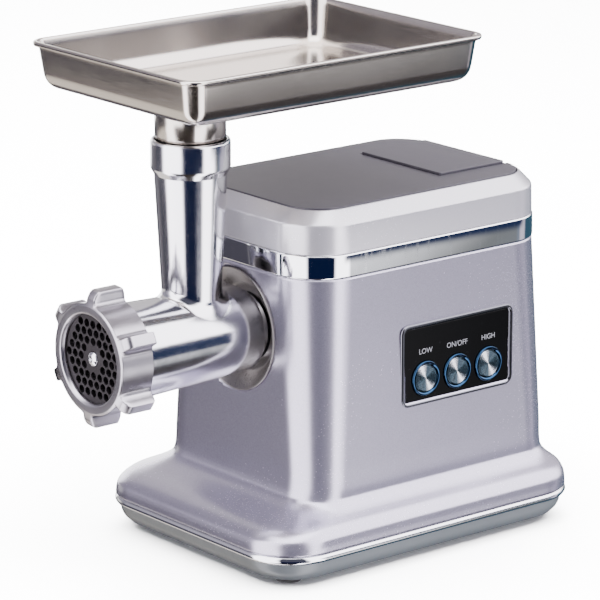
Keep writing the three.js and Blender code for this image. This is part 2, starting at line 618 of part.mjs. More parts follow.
const motorFront = frontOf(idlerWheel) - 1;
add('gearbox_housing', gearboxHousing(), darkPlastic);
add('gearbox_cover', gearboxCover(), darkPlastic);
add('output_gear', gear(outputGear, downwards, drive.journal + gap, outputGear.back,
  outputGear.thick, headZ), steel);
add('output_shaft', outputShaft(), steel);
add('output_bush_front', sleeveY(drive.bush, drive.journal + gap, gearbox.front + 0.2,
  gearbox.front + 4.4, headZ, 24), nylon);
add('output_bush_back', sleeveY(drive.bush, drive.journal + gap, gearbox.back - 2.4,
  gearbox.back + 3, headZ, 24), nylon);
add('idler_gear', idlerGear(), nylon);
add('idler_pin', discY(idlerShaft.radius, gearbox.front, gearbox.back + 3, idlerZ, 16), steel);
add('motor_can', motorCan(), steel);
const endPlate = discY(motor.radius, motor.back + gap, motor.back + motor.endPlate, motorZ, 32);
add('motor_end_plate', carve(endPlate,
  [discY(motor.shaftHole, motor.back - 4, motor.back + 9, motorZ, 16)]), steel);
add('motor_cradle', motorCradle(), darkPlastic);
add('motor_armature', latheY([[0, motorFront], [motor.shaft, motorFront],
  [motor.shaft, motor.front + motor.armatureInset],
  [motor.armature, motor.front + motor.armatureInset], [motor.armature, motor.armatureBack],
  [motor.shaft, motor.armatureBack], [motor.shaft, motor.shaftBack], [0, motor.shaftBack]],
motorZ, 0, 24), copper);
add('motor_pinion', gear(motorPinion, upwards + Math.PI / motorPinion.teeth, motor.shaft + 0.2,
  idlerWheel.back + 0.5, idlerWheel.thick + 1, motorZ), steel);
add('motor_fan', fanGeometry(), nylon);

// ---- control panel
const buttonNames = ['low', 'power', 'high'];
const buttonY = k => panel.y + (k - 1) * button.pitch;

function panelBezel() {
  const { y, z, halfY, halfZ, radius, rim, edge, outer, inner } = panel;
  const shape = roundedShape(y - halfY, z - halfZ, y + halfY, z + halfZ, radius);
  const hole = roundedShape(y - halfY + rim, z - halfZ + rim, y + halfY - rim, z + halfZ - rim,
    radius - rim);
  return carve(extrudeX(shape, inner, outer, 5, edge), [extrudeX(hole, inner - 5, outer + 5, 4)]);
}

function controlPanel() {
  const { y, z, halfY, halfZ, radius, rim, outer, inner } = panel;
  const shape = roundedShape(y - halfY + rim + gap, z - halfZ + rim + gap, y + halfY - rim - gap,
    z + halfZ - rim - gap, radius - rim - gap);
  const holes = buttonNames.map((_, k) =>
    discX(button.ring + gap, inner - 5, outer + 5, buttonY(k), button.z));
  return carve(extrudeX(shape, inner + 1, outer - panel.sunk, 4), holes);
}

add('panel_bezel', panelBezel(), chrome);
add('control_panel', controlPanel(), glossBlack);
buttonNames.forEach((name, k) => {
  const y = buttonY(k);
  const { z, ring: r, ringBore, ringBack, radius, face, travel, stem, stemBack, capBack } = button;
  const half = boardSize.switchHalf;
  add(`button_ring_${name}`, latheX([[ringBore, ringBack], [r, ringBack], [r, face - 1.2],
    [r - 1, face + 0.4], [ringBore + 0.8, face + 0.2], [ringBore, face - 0.8]], y, z), chrome);
  add(`button_${name}`, latheX([[0, stemBack], [stem, stemBack], [stem, capBack],
    [radius, capBack], [radius, face - 1], [radius - 0.9, face], [0, face - 0.8]], y, z), brushed);
  add(`switch_${name}`, box(boardSize.outer + 0.4, stemBack - travel - boardSize.switchGap,
    y - half, y + half, z - half, z + half), darkPlastic);
});
add('control_board', box(boardSize.inner, boardSize.outer, panel.y - boardSize.halfY,
  panel.y + boardSize.halfY, panel.z - boardSize.halfZ, panel.z + boardSize.halfZ), board);

export default grinder;
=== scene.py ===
"""Looks of an electric meat grinder: painted housing, chrome trim, polished head and steel tray.

Everything is in metres. The head points to -Y, the control panel faces +X and +Z is up.
"""
import math

import bpy
import numpy as np
from mathutils import Matrix, Vector


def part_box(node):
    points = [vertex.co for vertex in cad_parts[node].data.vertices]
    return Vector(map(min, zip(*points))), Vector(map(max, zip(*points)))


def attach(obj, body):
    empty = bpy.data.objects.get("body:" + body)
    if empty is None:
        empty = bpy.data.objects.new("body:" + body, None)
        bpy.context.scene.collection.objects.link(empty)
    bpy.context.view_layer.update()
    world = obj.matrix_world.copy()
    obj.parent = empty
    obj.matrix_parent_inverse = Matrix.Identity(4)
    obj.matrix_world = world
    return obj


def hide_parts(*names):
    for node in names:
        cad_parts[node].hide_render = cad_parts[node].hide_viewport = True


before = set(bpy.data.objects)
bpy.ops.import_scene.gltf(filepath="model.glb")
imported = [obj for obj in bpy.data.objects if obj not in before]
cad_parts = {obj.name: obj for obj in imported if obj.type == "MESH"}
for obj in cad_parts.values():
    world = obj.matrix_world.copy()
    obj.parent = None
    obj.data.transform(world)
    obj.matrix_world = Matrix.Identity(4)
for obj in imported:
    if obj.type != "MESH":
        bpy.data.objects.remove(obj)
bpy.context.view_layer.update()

MM = 0.001
QUARTER = math.pi / 2
FULL = 2 * math.pi

# Axes along which pieces are turned or lofted: two directions of the section and the way up,
# chosen so that a section walked counter-clockwise and stacked upwards faces outwards.
UP = np.array([[1, 0, 0], [0, 1, 0], [0, 0, 1]], float)
FORWARD = np.array([[1, 0, 0], [0, 0, 1], [0, -1, 0]], float)
SIDE = np.array([[0, 1, 0], [0, 0, 1], [1, 0, 0]], float)


def corners(node):
    """The lowest and highest corner of a node as arrays."""
    low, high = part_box(node)
    return np.array(low), np.array(high)


def middle(node):
    low, high = corners(node)
    return (low + high) / 2


# ---------- surfaces

def make_mesh(name, points, faces, smooth_angle=35):
    """One mesh object, shaded smooth except across edges sharper than the angle in degrees."""
    mesh = bpy.data.meshes.new(name)
    mesh.from_pydata(np.asarray(points).reshape(-1, 3).tolist(), [], faces)
    mesh.validate()
    mesh.shade_smooth()
    mesh.set_sharp_from_angle(angle=math.radians(smooth_angle))
    piece = bpy.data.objects.new(name, mesh)
    bpy.context.scene.collection.objects.link(piece)
    return piece


def grid(name, points, loop=False, caps=(False, False), open_at=None, to_edge=None,
         smooth_angle=35):
    """A sheet of quads over a grid of points: rows go up, columns go round.

    The last column joins the first. loop joins the last row to the first, caps close the first
    and the last row with one flat face each, and open_at(x, y, z) is true where the sheet is
    left open, tested at the middle of each quad. to_edge then moves the points round the
    opening onto its true outline.
    """
    rows, columns = points.shape[:2]
    points = points.reshape(-1, 3)
    index = np.arange(rows * columns).reshape(rows, columns)
    right = np.roll(index, -1, 1)
    low, low_right = (index, right) if loop else (index[:-1], right[:-1])
    high, high_right = (np.roll(a, -1, 0) if loop else a[1:] for a in (index, right))
    quads = np.stack([low, low_right, high_right, high], -1).reshape(-1, 4)
    if open_at is not None:
        gone = open_at(*points[quads].mean(1).T)
        rim = np.intersect1d(quads[gone], quads[~gone])
        quads = quads[~gone]
        if to_edge is not None:
            points[rim] = to_edge(points[rim])
    faces = quads.tolist()
    if caps[0]:
        faces.append(index[0, ::-1].tolist())
    if caps[1]:
        faces.append(index[-1].tolist())
    return make_mesh(name, points, faces, smooth_angle)


def bent(*steps, bend=6, closed=False):
    """A profile through the steps (a, b, rounding): each corner becomes a parabola arc that
    starts and ends the rounding's length away from it along its two sides."""
    at = np.array([s[:2] for s in steps], float)
    size = [s[2] if len(s) > 2 else 0 for s in steps]
    before, after = np.roll(at, 1, 0), np.roll(at, -1, 0)
    t = np.linspace(0, 1, bend)[:, None]
    parts = []
    for k, (p, q, r, d) in enumerate(zip(before, at, after, size)):
        if d == 0 or (not closed and k in (0, len(at) - 1)):
            parts.append(q[None])
            continue
        a = q + (p - q) / np.linalg.norm(p - q) * d
        b = q + (r - q) / np.linalg.norm(r - q) * d
        parts.append((1 - t) ** 2 * a + 2 * t * (1 - t) * q + t ** 2 * b)
    return np.concatenate(parts)


def turned(name, profile, axis, centre, around=96, wave=None, **options):
    """A profile of (radius, height) carried round an axis: centre + r cos t, r sin t, h.

    wave(t, r, h), if given, returns the radius at each angle and step of the profile.
    """
    profile = np.asarray(profile, float)
    t = np.linspace(0, FULL, around, endpoint=False)[None, :]
    r, h = profile[:, :1], profile[:, 1:]
    radius = r + 0 * t if wave is None else wave(t, r, h)
    local = np.stack([radius * np.cos(t), radius * np.sin(t), h + 0 * t], -1)
    return grid(name, local @ axis + np.asarray(centre), **options)


def frames(half_a, half_b, radius, mid_b=0.0, bend=14, along=1):
    """Rectangles with round corners, one for each row of the given sizes, walked
    counter-clockwise: corner centres plus radius times (cos t, sin t), with straight sides."""
    half_a, half_b, radius, mid_b = (np.atleast_1d(v).astype(float)[:, None, None]
                                     for v in np.broadcast_arrays(half_a, half_b, radius, mid_b))
    t = np.arange(4)[:, None] * QUARTER + np.linspace(0, QUARTER, bend)[None, :]
    side_a = np.array([1, -1, -1, 1])[None, :, None]
    side_b = np.array([1, 1, -1, -1])[None, :, None]
    a = side_a * (half_a - radius) + radius * np.cos(t)
    b = mid_b + side_b * (half_b - radius) + radius * np.sin(t)
    ring = np.stack([a, b], -1)
    share = (np.arange(along) + 1) / (along + 1)
    start, end = ring[:, :, -1:], np.roll(ring, -1, 1)[:, :, :1]
    sides = start + (end - start) * share[None, None, :, None]
    return np.concatenate([ring, sides], 2).reshape(len(ring), -1, 2)


def stacked(name, rings, height, axis=UP, centre=(0, 0, 0), **options):
    """Rings of (a, b), one for each height, stacked along an axis."""
    height = np.asarray(height, float)[:, None, None] + 0 * rings[..., :1]
    local = np.concatenate([rings, height], -1)
    return grid(name, local @ axis + np.asarray(centre), **options)


def hoop(name, half_a, half_b, radius, profile, axis=UP, centre=(0, 0, 0), mid_b=0.0, **options):
    """A frame with round corners whose section is a profile of (inset, height)."""
    inset, height = np.asarray(profile).T
    rings = frames(half_a - inset, half_b - inset, np.maximum(radius - inset, 0.0006), mid_b,
                   bend=options.pop("bend", 14), along=options.pop("along", 1))
    return stacked(name, rings, height, axis, centre, **options)


def flat_plate(name, outlines, thickness, edge, axis, centre):
    """A plate with holes: closed outlines of (a, b), filled, with a thickness and round edges."""
    curve = bpy.data.curves.new(name, "CURVE")
    curve.dimensions = "2D"
    curve.fill_mode = "BOTH"
    curve.extrude = thickness / 2 - edge
    curve.bevel_depth = edge
    curve.offset = -edge
    curve.bevel_resolution = 2
    for outline in outlines:
        spline = curve.splines.new("POLY")
        spline.points.add(len(outline) - 1)
        flat = np.zeros((len(outline), 4))
        flat[:, :2] = outline
        spline.points.foreach_set("co", flat.ravel())
        spline.use_cyclic_u = True
    return settle(bpy.data.objects.new(name + "_curve", curve), name, axis, centre)


def settle(source, name, axis, centre):
    """A curve or text object made a mesh, with its place in the mesh."""
    bpy.context.scene.collection.objects.link(source)
    bpy.context.view_layer.update()
    mesh = bpy.data.meshes.new_from_object(source.evaluated_get(
        bpy.context.evaluated_depsgraph_get()))
    bpy.data.objects.remove(source)
    turn = Matrix(axis.T.tolist()).to_4x4()
    mesh.transform(Matrix.Translation(Vector(centre)) @ turn)
    mesh.shade_smooth()
    mesh.set_sharp_from_angle(angle=math.radians(30))
    piece = bpy.data.objects.new(name, mesh)
    bpy.context.scene.collection.objects.link(piece)
    return piece


def circle(radius, steps=48, at=(0, 0), turn=0.0):
    t = turn + np.linspace(0, FULL, steps, endpoint=False)
    return np.stack([at[0] + radius * np.cos(t), at[1] + radius * np.sin(t)], -1)


def thicken(piece, thickness):
    """Gives a sheet its wall, on the side that its faces point away from."""
    solidify = piece.modifiers.new("thickness", "SOLIDIFY")
    solidify.thickness = thickness
    solidify.offset = -1
    solidify.use_even_offset = True


# ---------- shader maths

class Value:
    """A socket that can be used in an expression; each operator adds one Math node."""

    def __init__(self, owner, socket):
        self.owner, self.socket = owner, socket

    def maths(self, operation, a, b):
        return self.owner.node("ShaderNodeMath", {"operation": operation}, {0: a, 1: b})

    def __add__(self, other):
        return self.maths("ADD", self, other)

    def __sub__(self, other):
        return self.maths("SUBTRACT", self, other)

    def __rsub__(self, other):
        return self.maths("SUBTRACT", other, self)

    def __mul__(self, other):
        return self.maths("MULTIPLY", self, other)

    def __truediv__(self, other):
        return self.maths("DIVIDE", self, other)

    __radd__ = __add__
    __rmul__ = __mul__


class Nodes:
    """The nodes of a material or of the world."""

    def __init__(self, tree):
        self.tree = tree

    def node(self, kind, settings=None, sockets=None, out=0):
        """Adds a node: its settings first, then values or links for its sockets."""
        node = self.tree.nodes.new(kind)
        for key, value in (settings or {}).items():
            if key == "stops":
                ramp = node.color_ramp
                while len(ramp.elements) < len(value):
                    ramp.elements.new(0.5)
                for element, (position, color) in zip(ramp.elements, value):
                    element.position, element.color = position, color
            else:
                setattr(node, key, value)
        for key, value in (sockets or {}).items():
            if isinstance(value, Value):
                self.tree.links.new(value.socket, node.inputs[key])
            else:
                node.inputs[key].default_value = value
        return Value(self, node.outputs[out])

    def ramp(self, fac, *stops):
        return self.node("ShaderNodeValToRGB", {"stops": [(p, (v, v, v, 1)) for p, v in stops]},
                         {"Fac": fac})

    def step(self, value, start, end):
        """A smooth step of a value, from 0 at the start to 1 at the end."""
        return self.node("ShaderNodeMapRange", {"interpolation_type": "SMOOTHSTEP"},
                         {"Value": value, 1: start, 2: end})

    def blend(self, fac, low, high):
        """A colour between two colours."""
        return self.node("ShaderNodeMix", {"data_type": "RGBA"}, {
            0: fac, 6: (*low, 1) if isinstance(low, tuple) else low,
            7: (*high, 1) if isinstance(high, tuple) else high}, 2)


class Finish(Nodes):
    """A material under construction: one Principled shader and the nodes that feed it."""

    def __init__(self, name, **constants):
        self.material = bpy.data.materials.new(name)
        self.material.use_nodes = True
        super().__init__(self.material.node_tree)
        self.shader = self.tree.nodes["Principled BSDF"]
        for socket, value in constants.items():
            self.shader.inputs[socket.replace("_", " ")].default_value = value
        self.place = self.node("ShaderNodeTexCoord", {}, {}, "Object")

    def stretch(self, scale):
        return self.node("ShaderNodeMapping", {}, {"Vector": self.place, "Scale": scale})

    def noise(self, scale, detail=3.0, at=None, rough=0.5):
        return self.node("ShaderNodeTexNoise", {}, {
            "Vector": at or self.place, "Scale": scale, "Detail": detail, "Roughness": rough})

    def cells(self, scale):
        """A random value for each small cell of the surface."""
        return self.node("ShaderNodeTexVoronoi", {}, {"Vector": self.place, "Scale": scale},
                         "Color")

    def bump(self, height, strength, distance=0.0002, normal=None):
        sockets = {"Height": height, "Strength": strength, "Distance": distance}
        if normal:
            sockets["Normal"] = normal
        return self.node("ShaderNodeBump", {}, sockets)

    def done(self, color, rough, normal=None):
        """Links what varies over the surface to the shader and returns the material."""
        for socket, value in (("Base Color", color), ("Roughness", rough), ("Normal", normal)):
            if isinstance(value, Value):
                self.tree.links.new(value.socket, self.shader.inputs[socket])
            elif value is not None:
                self.shader.inputs[socket].default_value = value
        return self.material


def sparkle_paint(name, dark, light, metallic=0.62):
    """Metallic paint: fine flakes of random brightness under a clear coat, with a faint ripple."""
    f = Finish(name, Metallic=metallic, Coat_Weight=0.25, Coat_Roughness=0.1)
    flake = f.cells(2100)
    patch = f.noise(9, 2)
    ripple = f.noise(420, 3)
    color = f.blend(0.25 + flake * 0.45 + patch * 0.2, dark, light)
    normal = f.bump(flake, 0.05, 0.0001, f.bump(ripple, 0.03, 0.0002))
    return f.done(color, 0.22 + flake * 0.04 + patch * 0.03, normal)


def satin_plastic(name, dark, light, rough=0.42, grain=0.22, coat=0.1):
    """Moulded plastic with a fine spark-eroded grain and faint handling marks."""
    f = Finish(name, Coat_Weight=coat, Coat_Roughness=0.25)
    fine = f.noise(1700, 2)
    marks = f.noise(14, 5, rough=0.65)
    color = f.blend(marks * 0.7 + fine * 0.3, dark, light)
    return f.done(color, rough - 0.07 + marks * 0.14, f.bump(fine, grain, 0.0001))


def mirror_plating(name, tint=(0.80, 0.81, 0.84), rough=0.045):
    """Bright plating: almost clear mirror, slight long waves and a few fine wipe marks."""
    f = Finish(name, Metallic=1.0)
    waves = f.noise(22, 1)
    wipe = f.noise(260, 4, f.stretch((1, 1, 0.12)))
    color = f.blend(waves, tuple(0.93 * c for c in tint), tint)
    return f.done(color, rough + f.ramp(wipe, (0.52, 0.0), (0.8, 0.12)),
                  f.bump(waves, 0.10, 0.0006))


def polished_casting(name, tint, rough, ripple=0.16):
    """Polished aluminium casting: slow waves from hand polishing and fine swirl scratches."""
    f = Finish(name, Metallic=1.0)
    waves = f.noise(48, 2)
    scratch = f.noise(900, 3, f.stretch((1, 0.12, 1)))
    dull = f.noise(30, 4, rough=0.6)
    color = f.blend(dull, tuple(0.86 * c for c in tint), tint)
    normal = f.bump(scratch, 0.05, 0.00006, f.bump(waves, ripple, 0.0007))
    return f.done(color, rough + dull * 0.10 + scratch * 0.05, normal)


def brushed_sheet(name, tint, rough=0.2, along=(0.03, 1, 1), strength=0.08):
    """Brushed sheet steel: noise drawn out along the brushing, with cloudy lighter patches."""
    f = Finish(name, Metallic=1.0)
    lines = f.noise(1400, 3, f.stretch(along))
    broad = f.noise(160, 2, f.stretch(along))
    cloud = f.noise(16, 3)
    color = f.blend(cloud * 0.6 + lines * 0.4, tuple(0.80 * c for c in tint), tint)
    normal = f.bump(lines, strength, 0.00005, f.bump(broad, strength * 0.6, 0.0001))
    return f.done(color, rough + lines * 0.10 + cloud * 0.08, normal)


def spun_face(name, centre, dark, tint, highlight_axis, axis_row):
    """Spun metal: fine rings round a centre on an axis, and a painted highlight in the base
    colour: a bright fan that opens to both sides of the centre along a direction (sideways, up)
    and fades into dark metal, painted in place of the reflection that spun metal shows."""
    f = Finish(name, Metallic=1.0)
    away = f.node("ShaderNodeVectorMath", {"operation": "SUBTRACT"},
                  {0: f.place, 1: tuple(float(c) for c in centre)})
    keep = tuple(0.0 if axis_row[2][k] else 1.0 for k in range(3))
    flat = f.node("ShaderNodeVectorMath", {"operation": "MULTIPLY"}, {0: away, 1: keep})
    radius = f.node("ShaderNodeVectorMath", {"operation": "LENGTH"}, {0: flat}, "Value")
    rings = f.node("ShaderNodeMath", {"operation": "SINE"}, {0: radius * 9000})
    shade = f.noise(700, 2)
    y, z = (f.node("ShaderNodeSeparateXYZ", {}, {0: flat}, k) for k in (1, 2))
    across = f.node("ShaderNodeMath", {"operation": "ABSOLUTE"}, {0: y * highlight_axis[1] - z * highlight_axis[0]})
    off_highlight = across / (radius + 0.0001) + shade * 0.08
    # painted highlight: the base colour runs from the bright tint along the highlight axis to the
    # dark colour away from it, fixed on the face rather than reflected
    color = f.blend(f.ramp(off_highlight, (0.06, 1.0), (0.34, 0.3), (0.60, 0.0)), dark, tint)
    return f.done(color, 0.13 + shade * 0.05, f.bump(rings, 0.7, 0.00016))


def rubber_finish(name):
    f = Finish(name)
    grain = f.noise(900, 4)
    return f.done(f.blend(grain, (0.012, 0.012, 0.013), (0.035, 0.035, 0.036)),
                  0.7 + grain * 0.2, f.bump(grain, 0.3, 0.0002))


def gloss_black(name):
    """Polished black plastic with the faintest orange peel and dust."""
    f = Finish(name, Specular_IOR_Level=0.1, Coat_Weight=0.10, Coat_Roughness=0.02)
    peel = f.noise(180, 1)
    dust = f.ramp(f.cells(500), (0.90, 0.0), (1.0, 1.0))
    color = f.blend(dust * 0.25, (0.003, 0.003, 0.004), (0.05, 0.05, 0.055))
    return f.done(color, 0.07 + dust * 0.10, f.bump(peel, 0.03, 0.0002))


def machined_steel(name, tint=(0.55, 0.55, 0.57), rough=0.26):
    f = Finish(name, Metallic=1.0)
    cut = f.noise(1100, 3, f.stretch((1, 0.08, 1)))
    stain = f.noise(35, 4)
    color = f.blend(stain, tuple(0.72 * c for c in tint), tint)
    return f.done(color, rough + cut * 0.12 + stain * 0.08, f.bump(cut, 0.10, 0.00008))


def winding_finish(name):
    """Varnished copper wire: thin parallel strands with darker varnish between them."""
    f = Finish(name, Metallic=0.9)
    strand = f.node("ShaderNodeTexWave", {"bands_direction": "Y"},
                    {"Vector": f.place, "Scale": 420, "Distortion": 1.5})
    color = f.blend(strand, (0.16, 0.05, 0.02), (0.62, 0.27, 0.11))
    return f.done(color, 0.25 + strand * 0.2, f.bump(strand, 0.5, 0.0003))


def board_finish(name):
    """Circuit board: green resist with paler traces in a square pattern."""
    f = Finish(name, Coat_Weight=0.5, Coat_Roughness=0.15)
    brick = f.node("ShaderNodeTexBrick", {}, {"Vector": f.place, "Scale": 130}, "Fac")
    tone = f.noise(60, 3)
    color = f.blend(brick * 0.6 + tone * 0.3, (0.012, 0.09, 0.03), (0.05, 0.22, 0.09))
    return f.done(color, 0.3 + tone * 0.15, f.bump(brick, 0.2, 0.0001))


def printed_white(name):
    f = Finish(name)
    speck = f.noise(2500, 2)
    return f.done(f.blend(speck, (0.40, 0.41, 0.44), (0.60, 0.61, 0.64)), 0.45 + speck * 0.1)


body_paint = sparkle_paint("lilac silver paint", (0.36, 0.335, 0.44), (0.66, 0.63, 0.76))
cap_paint = sparkle_paint("cap silver paint", (0.80, 0.78, 0.85), (0.93, 0.91, 0.97), 0.35)
chrome = mirror_plating("bright chrome")
blue_chrome = mirror_plating("blue chrome", (0.02, 0.05, 0.10), 0.08)
smoked_chrome = mirror_plating("smoked chrome", (0.13, 0.13, 0.15), 0.06)
deck_plastic = satin_plastic("deck plastic", (0.066, 0.061, 0.080), (0.10, 0.092, 0.118), 0.42)
base_plastic = satin_plastic("base plastic", (0.22, 0.25, 0.265), (0.33, 0.36, 0.375), 0.36,
                             coat=0.35)
inner_plastic = satin_plastic("black moulding", (0.012, 0.012, 0.014), (0.03, 0.03, 0.033), 0.5)
natural_nylon = satin_plastic("natural nylon", (0.62, 0.58, 0.48), (0.78, 0.74, 0.64), 0.4)
rubber = rubber_finish("foot rubber")
casting = polished_casting("polished casting", (0.80, 0.80, 0.84), 0.07)
nut_casting = polished_casting("satin casting", (0.44, 0.42, 0.46), 0.22, 0.3)
tray_steel = brushed_sheet("tray steel", (0.62, 0.575, 0.53), 0.09)
# painted shade: the socket steel is tinted about half as bright as the tray steel to darken the
# inside of the recess, where shade falls
shade_darkened_recess_steel = brushed_sheet("socket steel", (0.30, 0.285, 0.28), 0.2, (1, 0.05, 1))
steel = machined_steel("machined steel")
plate_steel = machined_steel("plate steel", (0.055, 0.05, 0.055), 0.38)
panel_black = gloss_black("panel black")
winding = winding_finish("copper winding")
board_green = board_finish("circuit board")
label_white = printed_white("printed label")

def fit(piece, body, finish, slot, *nodes):
    """Gives a piece its finish and its body, and hides the nodes that it stands for; the slot is
    not used.
    """
    piece.data.materials.clear()
    piece.data.materials.append(finish)
    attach(piece, body)
    if nodes:
        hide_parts(*nodes)
    return piece


# ---------- places taken from the frame

shell_low, shell_high = corners("body_shell")
band_low, band_high = corners("trim_band")
cap_low, cap_high = corners("top_cap")
deck_low, deck_high = corners("top_deck")
strip_low, strip_high = corners("base_trim_strip")
tub_low, tub_high = corners("base_tub")
nut_low, nut_high = corners("ring_nut")
cast_low, cast_high = corners("head_casting")
tray_low, tray_high = corners("feed_tray")
bezel_low, bezel_high = corners("panel_bezel")

body_y = middle("trim_band")[1]             # middle of the upright housing
base_y = middle("base_trim_strip")[1]       # middle of the base
head_z = middle("ring_nut")[2]              # height of the barrel's axis
tube_y = cast_low[1] + 81 * MM              # the feed tube's axis, behind the barrel's mouth

CORNER_RADIUS = 36 * MM                     # upright corners at the band
WAIST_RADIUS = 28 * MM                      # the same corners where the flare starts
SEAM_RADIUS = 38.5 * MM                     # and where it meets the base strip
WAIST_OUT_X, WAIST_OUT_Y = 4.5 * MM, 1.0 * MM   # how far the waist stands outside the band
HOUSING_WALL = 2.5 * MM
SOCKET_RADIUS = 44.3 * MM                   # hole in the housing's front
TRAY_SHEET = 1.1 * MM
NUT_RADIUS, NUT_OPENING, NUT_THREAD = 39.3 * MM, 31 * MM, 36.3 * MM
TABS, FIRST_TAB = 6, math.radians(26)       # the ring nut's tabs

# ---------- housing

# share of the base's overhang and height in millimetres, from the waist down to the seam
FLARE = ((0.0, 72), (0.01, 62), (0.03, 56), (0.07, 52), (0.20, 48), (0.42, 44.4), (0.76, 40.2),
         (0.935, 35), (0.985, 30.5), (1.0, 25.4))


def smooth_path(points, steps):
    """A smooth curve through points: cubic Hermite pieces with chord slopes at the points."""
    p = np.array(points, float)
    slope = np.gradient(p, axis=0)
    t = np.linspace(0, len(p) - 1, steps)
    k = np.minimum(t.astype(int), len(p) - 2)
    u = (t - k)[:, None]
    return ((2 * u ** 3 - 3 * u ** 2 + 1) * p[k] + (u ** 3 - 2 * u ** 2 + u) * slope[k]
            + (3 * u ** 2 - 2 * u ** 3) * p[k + 1] + (u ** 3 - u ** 2) * slope[k + 1])


def housing():
    """Rings with round corners: a tapering wall from the band down to the waist, then a flare
    that follows a smooth curve of (share of the overhang, height) out to the base strip."""
    share, height = smooth_path(FLARE, 56)[::-1].T
    waist_x = band_high[0] + WAIST_OUT_X
    waist_y = (band_high[1] - band_low[1]) / 2 + WAIST_OUT_Y
    seam_x, seam_y = shell_high[0], (shell_high[1] - shell_low[1]) / 2
    top_x, top_y = band_high[0] - 0.5 * MM, (band_high[1] - band_low[1]) / 2 - 0.3 * MM
    wall = np.linspace(0, 1, 70)[1:]
    half_x = np.concatenate([waist_x + (seam_x - waist_x) * share,
                             waist_x + (top_x - waist_x) * wall])
    half_y = np.concatenate([waist_y + (seam_y - waist_y) * share,
                             waist_y + (top_y - waist_y) * wall])
    mid = np.concatenate([body_y + (base_y - body_y) * share, body_y + 0 * wall])
    radius = WAIST_RADIUS + np.concatenate([(SEAM_RADIUS - WAIST_RADIUS) * share,
                                            (CORNER_RADIUS - WAIST_RADIUS) * wall])
    waist_z = FLARE[0][1] * MM
    z = np.concatenate([height * MM, waist_z + (shell_high[2] - waist_z) * wall])
    panel_low, panel_high = corners("control_panel")

    def opening(x, y, z):
        in_socket = (y < body_y) & (np.hypot(x, z - head_z) < SOCKET_RADIUS)
        in_panel = ((x > 0) & (y > panel_low[1]) & (y < panel_high[1])
                    & (z > panel_low[2]) & (z < panel_high[2]))
        return in_socket | in_panel

    def round_hole(points):
        from_axis = points[:, [0, 2]] - np.array([0, head_z])
        away = np.linalg.norm(from_axis, axis=1)[:, None]
        moved = points.copy()
        moved[:, [0, 2]] = np.array([0, head_z]) + from_axis / away * SOCKET_RADIUS
        return np.where((points[:, 1:2] < body_y) & (away < 1.2 * SOCKET_RADIUS), moved, points)

    piece = stacked("housing", frames(half_x, half_y, radius, mid, bend=18, along=70), z,
                    open_at=opening, to_edge=round_hole, smooth_angle=50)
    thicken(piece, HOUSING_WALL)
    return fit(piece, "chassis", body_paint, "body_paint", "body_shell")


def upper_housing():
    """Chrome band and bevelled cap, each a frame with round corners."""
    half_x, half_y = band_high[0], (band_high[1] - band_low[1]) / 2
    low, high = band_low[2], band_high[2]
    rim = bent((0.5 * MM, low), (0, low + 0.7 * MM, 0.5 * MM),
               (0.15 * MM, high - 0.7 * MM, 0.5 * MM), (0.7 * MM, high), (4 * MM, high),
               (4 * MM, low), closed=True)
    fit(hoop("chrome_band", half_x, half_y, CORNER_RADIUS, rim, mid_b=body_y, loop=True, bend=22),
        "chassis", chrome, "chrome_trim", "trim_band")

    half_x, half_y = cap_high[0], (cap_high[1] - cap_low[1]) / 2
    low, high = cap_low[2], cap_high[2]
    inner = half_x - deck_high[0] - 0.3 * MM
    edge = 246 * MM
    section = bent((0.4 * MM, low), (0, low + 0.5 * MM, 0.4 * MM), (0.4 * MM, edge, 1.6 * MM),
                   (inner - 0.7 * MM, high, 0.9 * MM), (inner, high - 0.3 * MM, 0.2 * MM),
                   (inner, deck_low[2] - 0.5 * MM), (4.5 * MM, edge - 3 * MM), (4.5 * MM, low),
                   closed=True, bend=7)
    fit(hoop("top_cap_frame", half_x, half_y, CORNER_RADIUS, section, mid_b=body_y, loop=True,
             bend=22), "chassis", cap_paint, "cap_paint", "top_cap")


def deck_outline():
    """The deck's rounded rectangle, walked round with a square notch let into its back edge."""
    half_x, half_y = deck_high[0], (deck_high[1] - deck_low[1]) / 2
    ring = frames(half_x, half_y, 27 * MM, body_y, bend=20, along=1)[0]
    lid_low, lid_high = corners("compartment_lid")
    side, front = lid_high[0] + 0.5 * MM, lid_low[1] - 0.6 * MM
    back = deck_high[1]
    notch = np.array([(side, back), (side, front), (-side, front), (-side, back)])
    middle_back = int(np.argmin(np.abs(ring[:, 0]) + np.abs(ring[:, 1] - back)))
    return np.concatenate([ring[:middle_back], notch, ring[middle_back + 1:]])


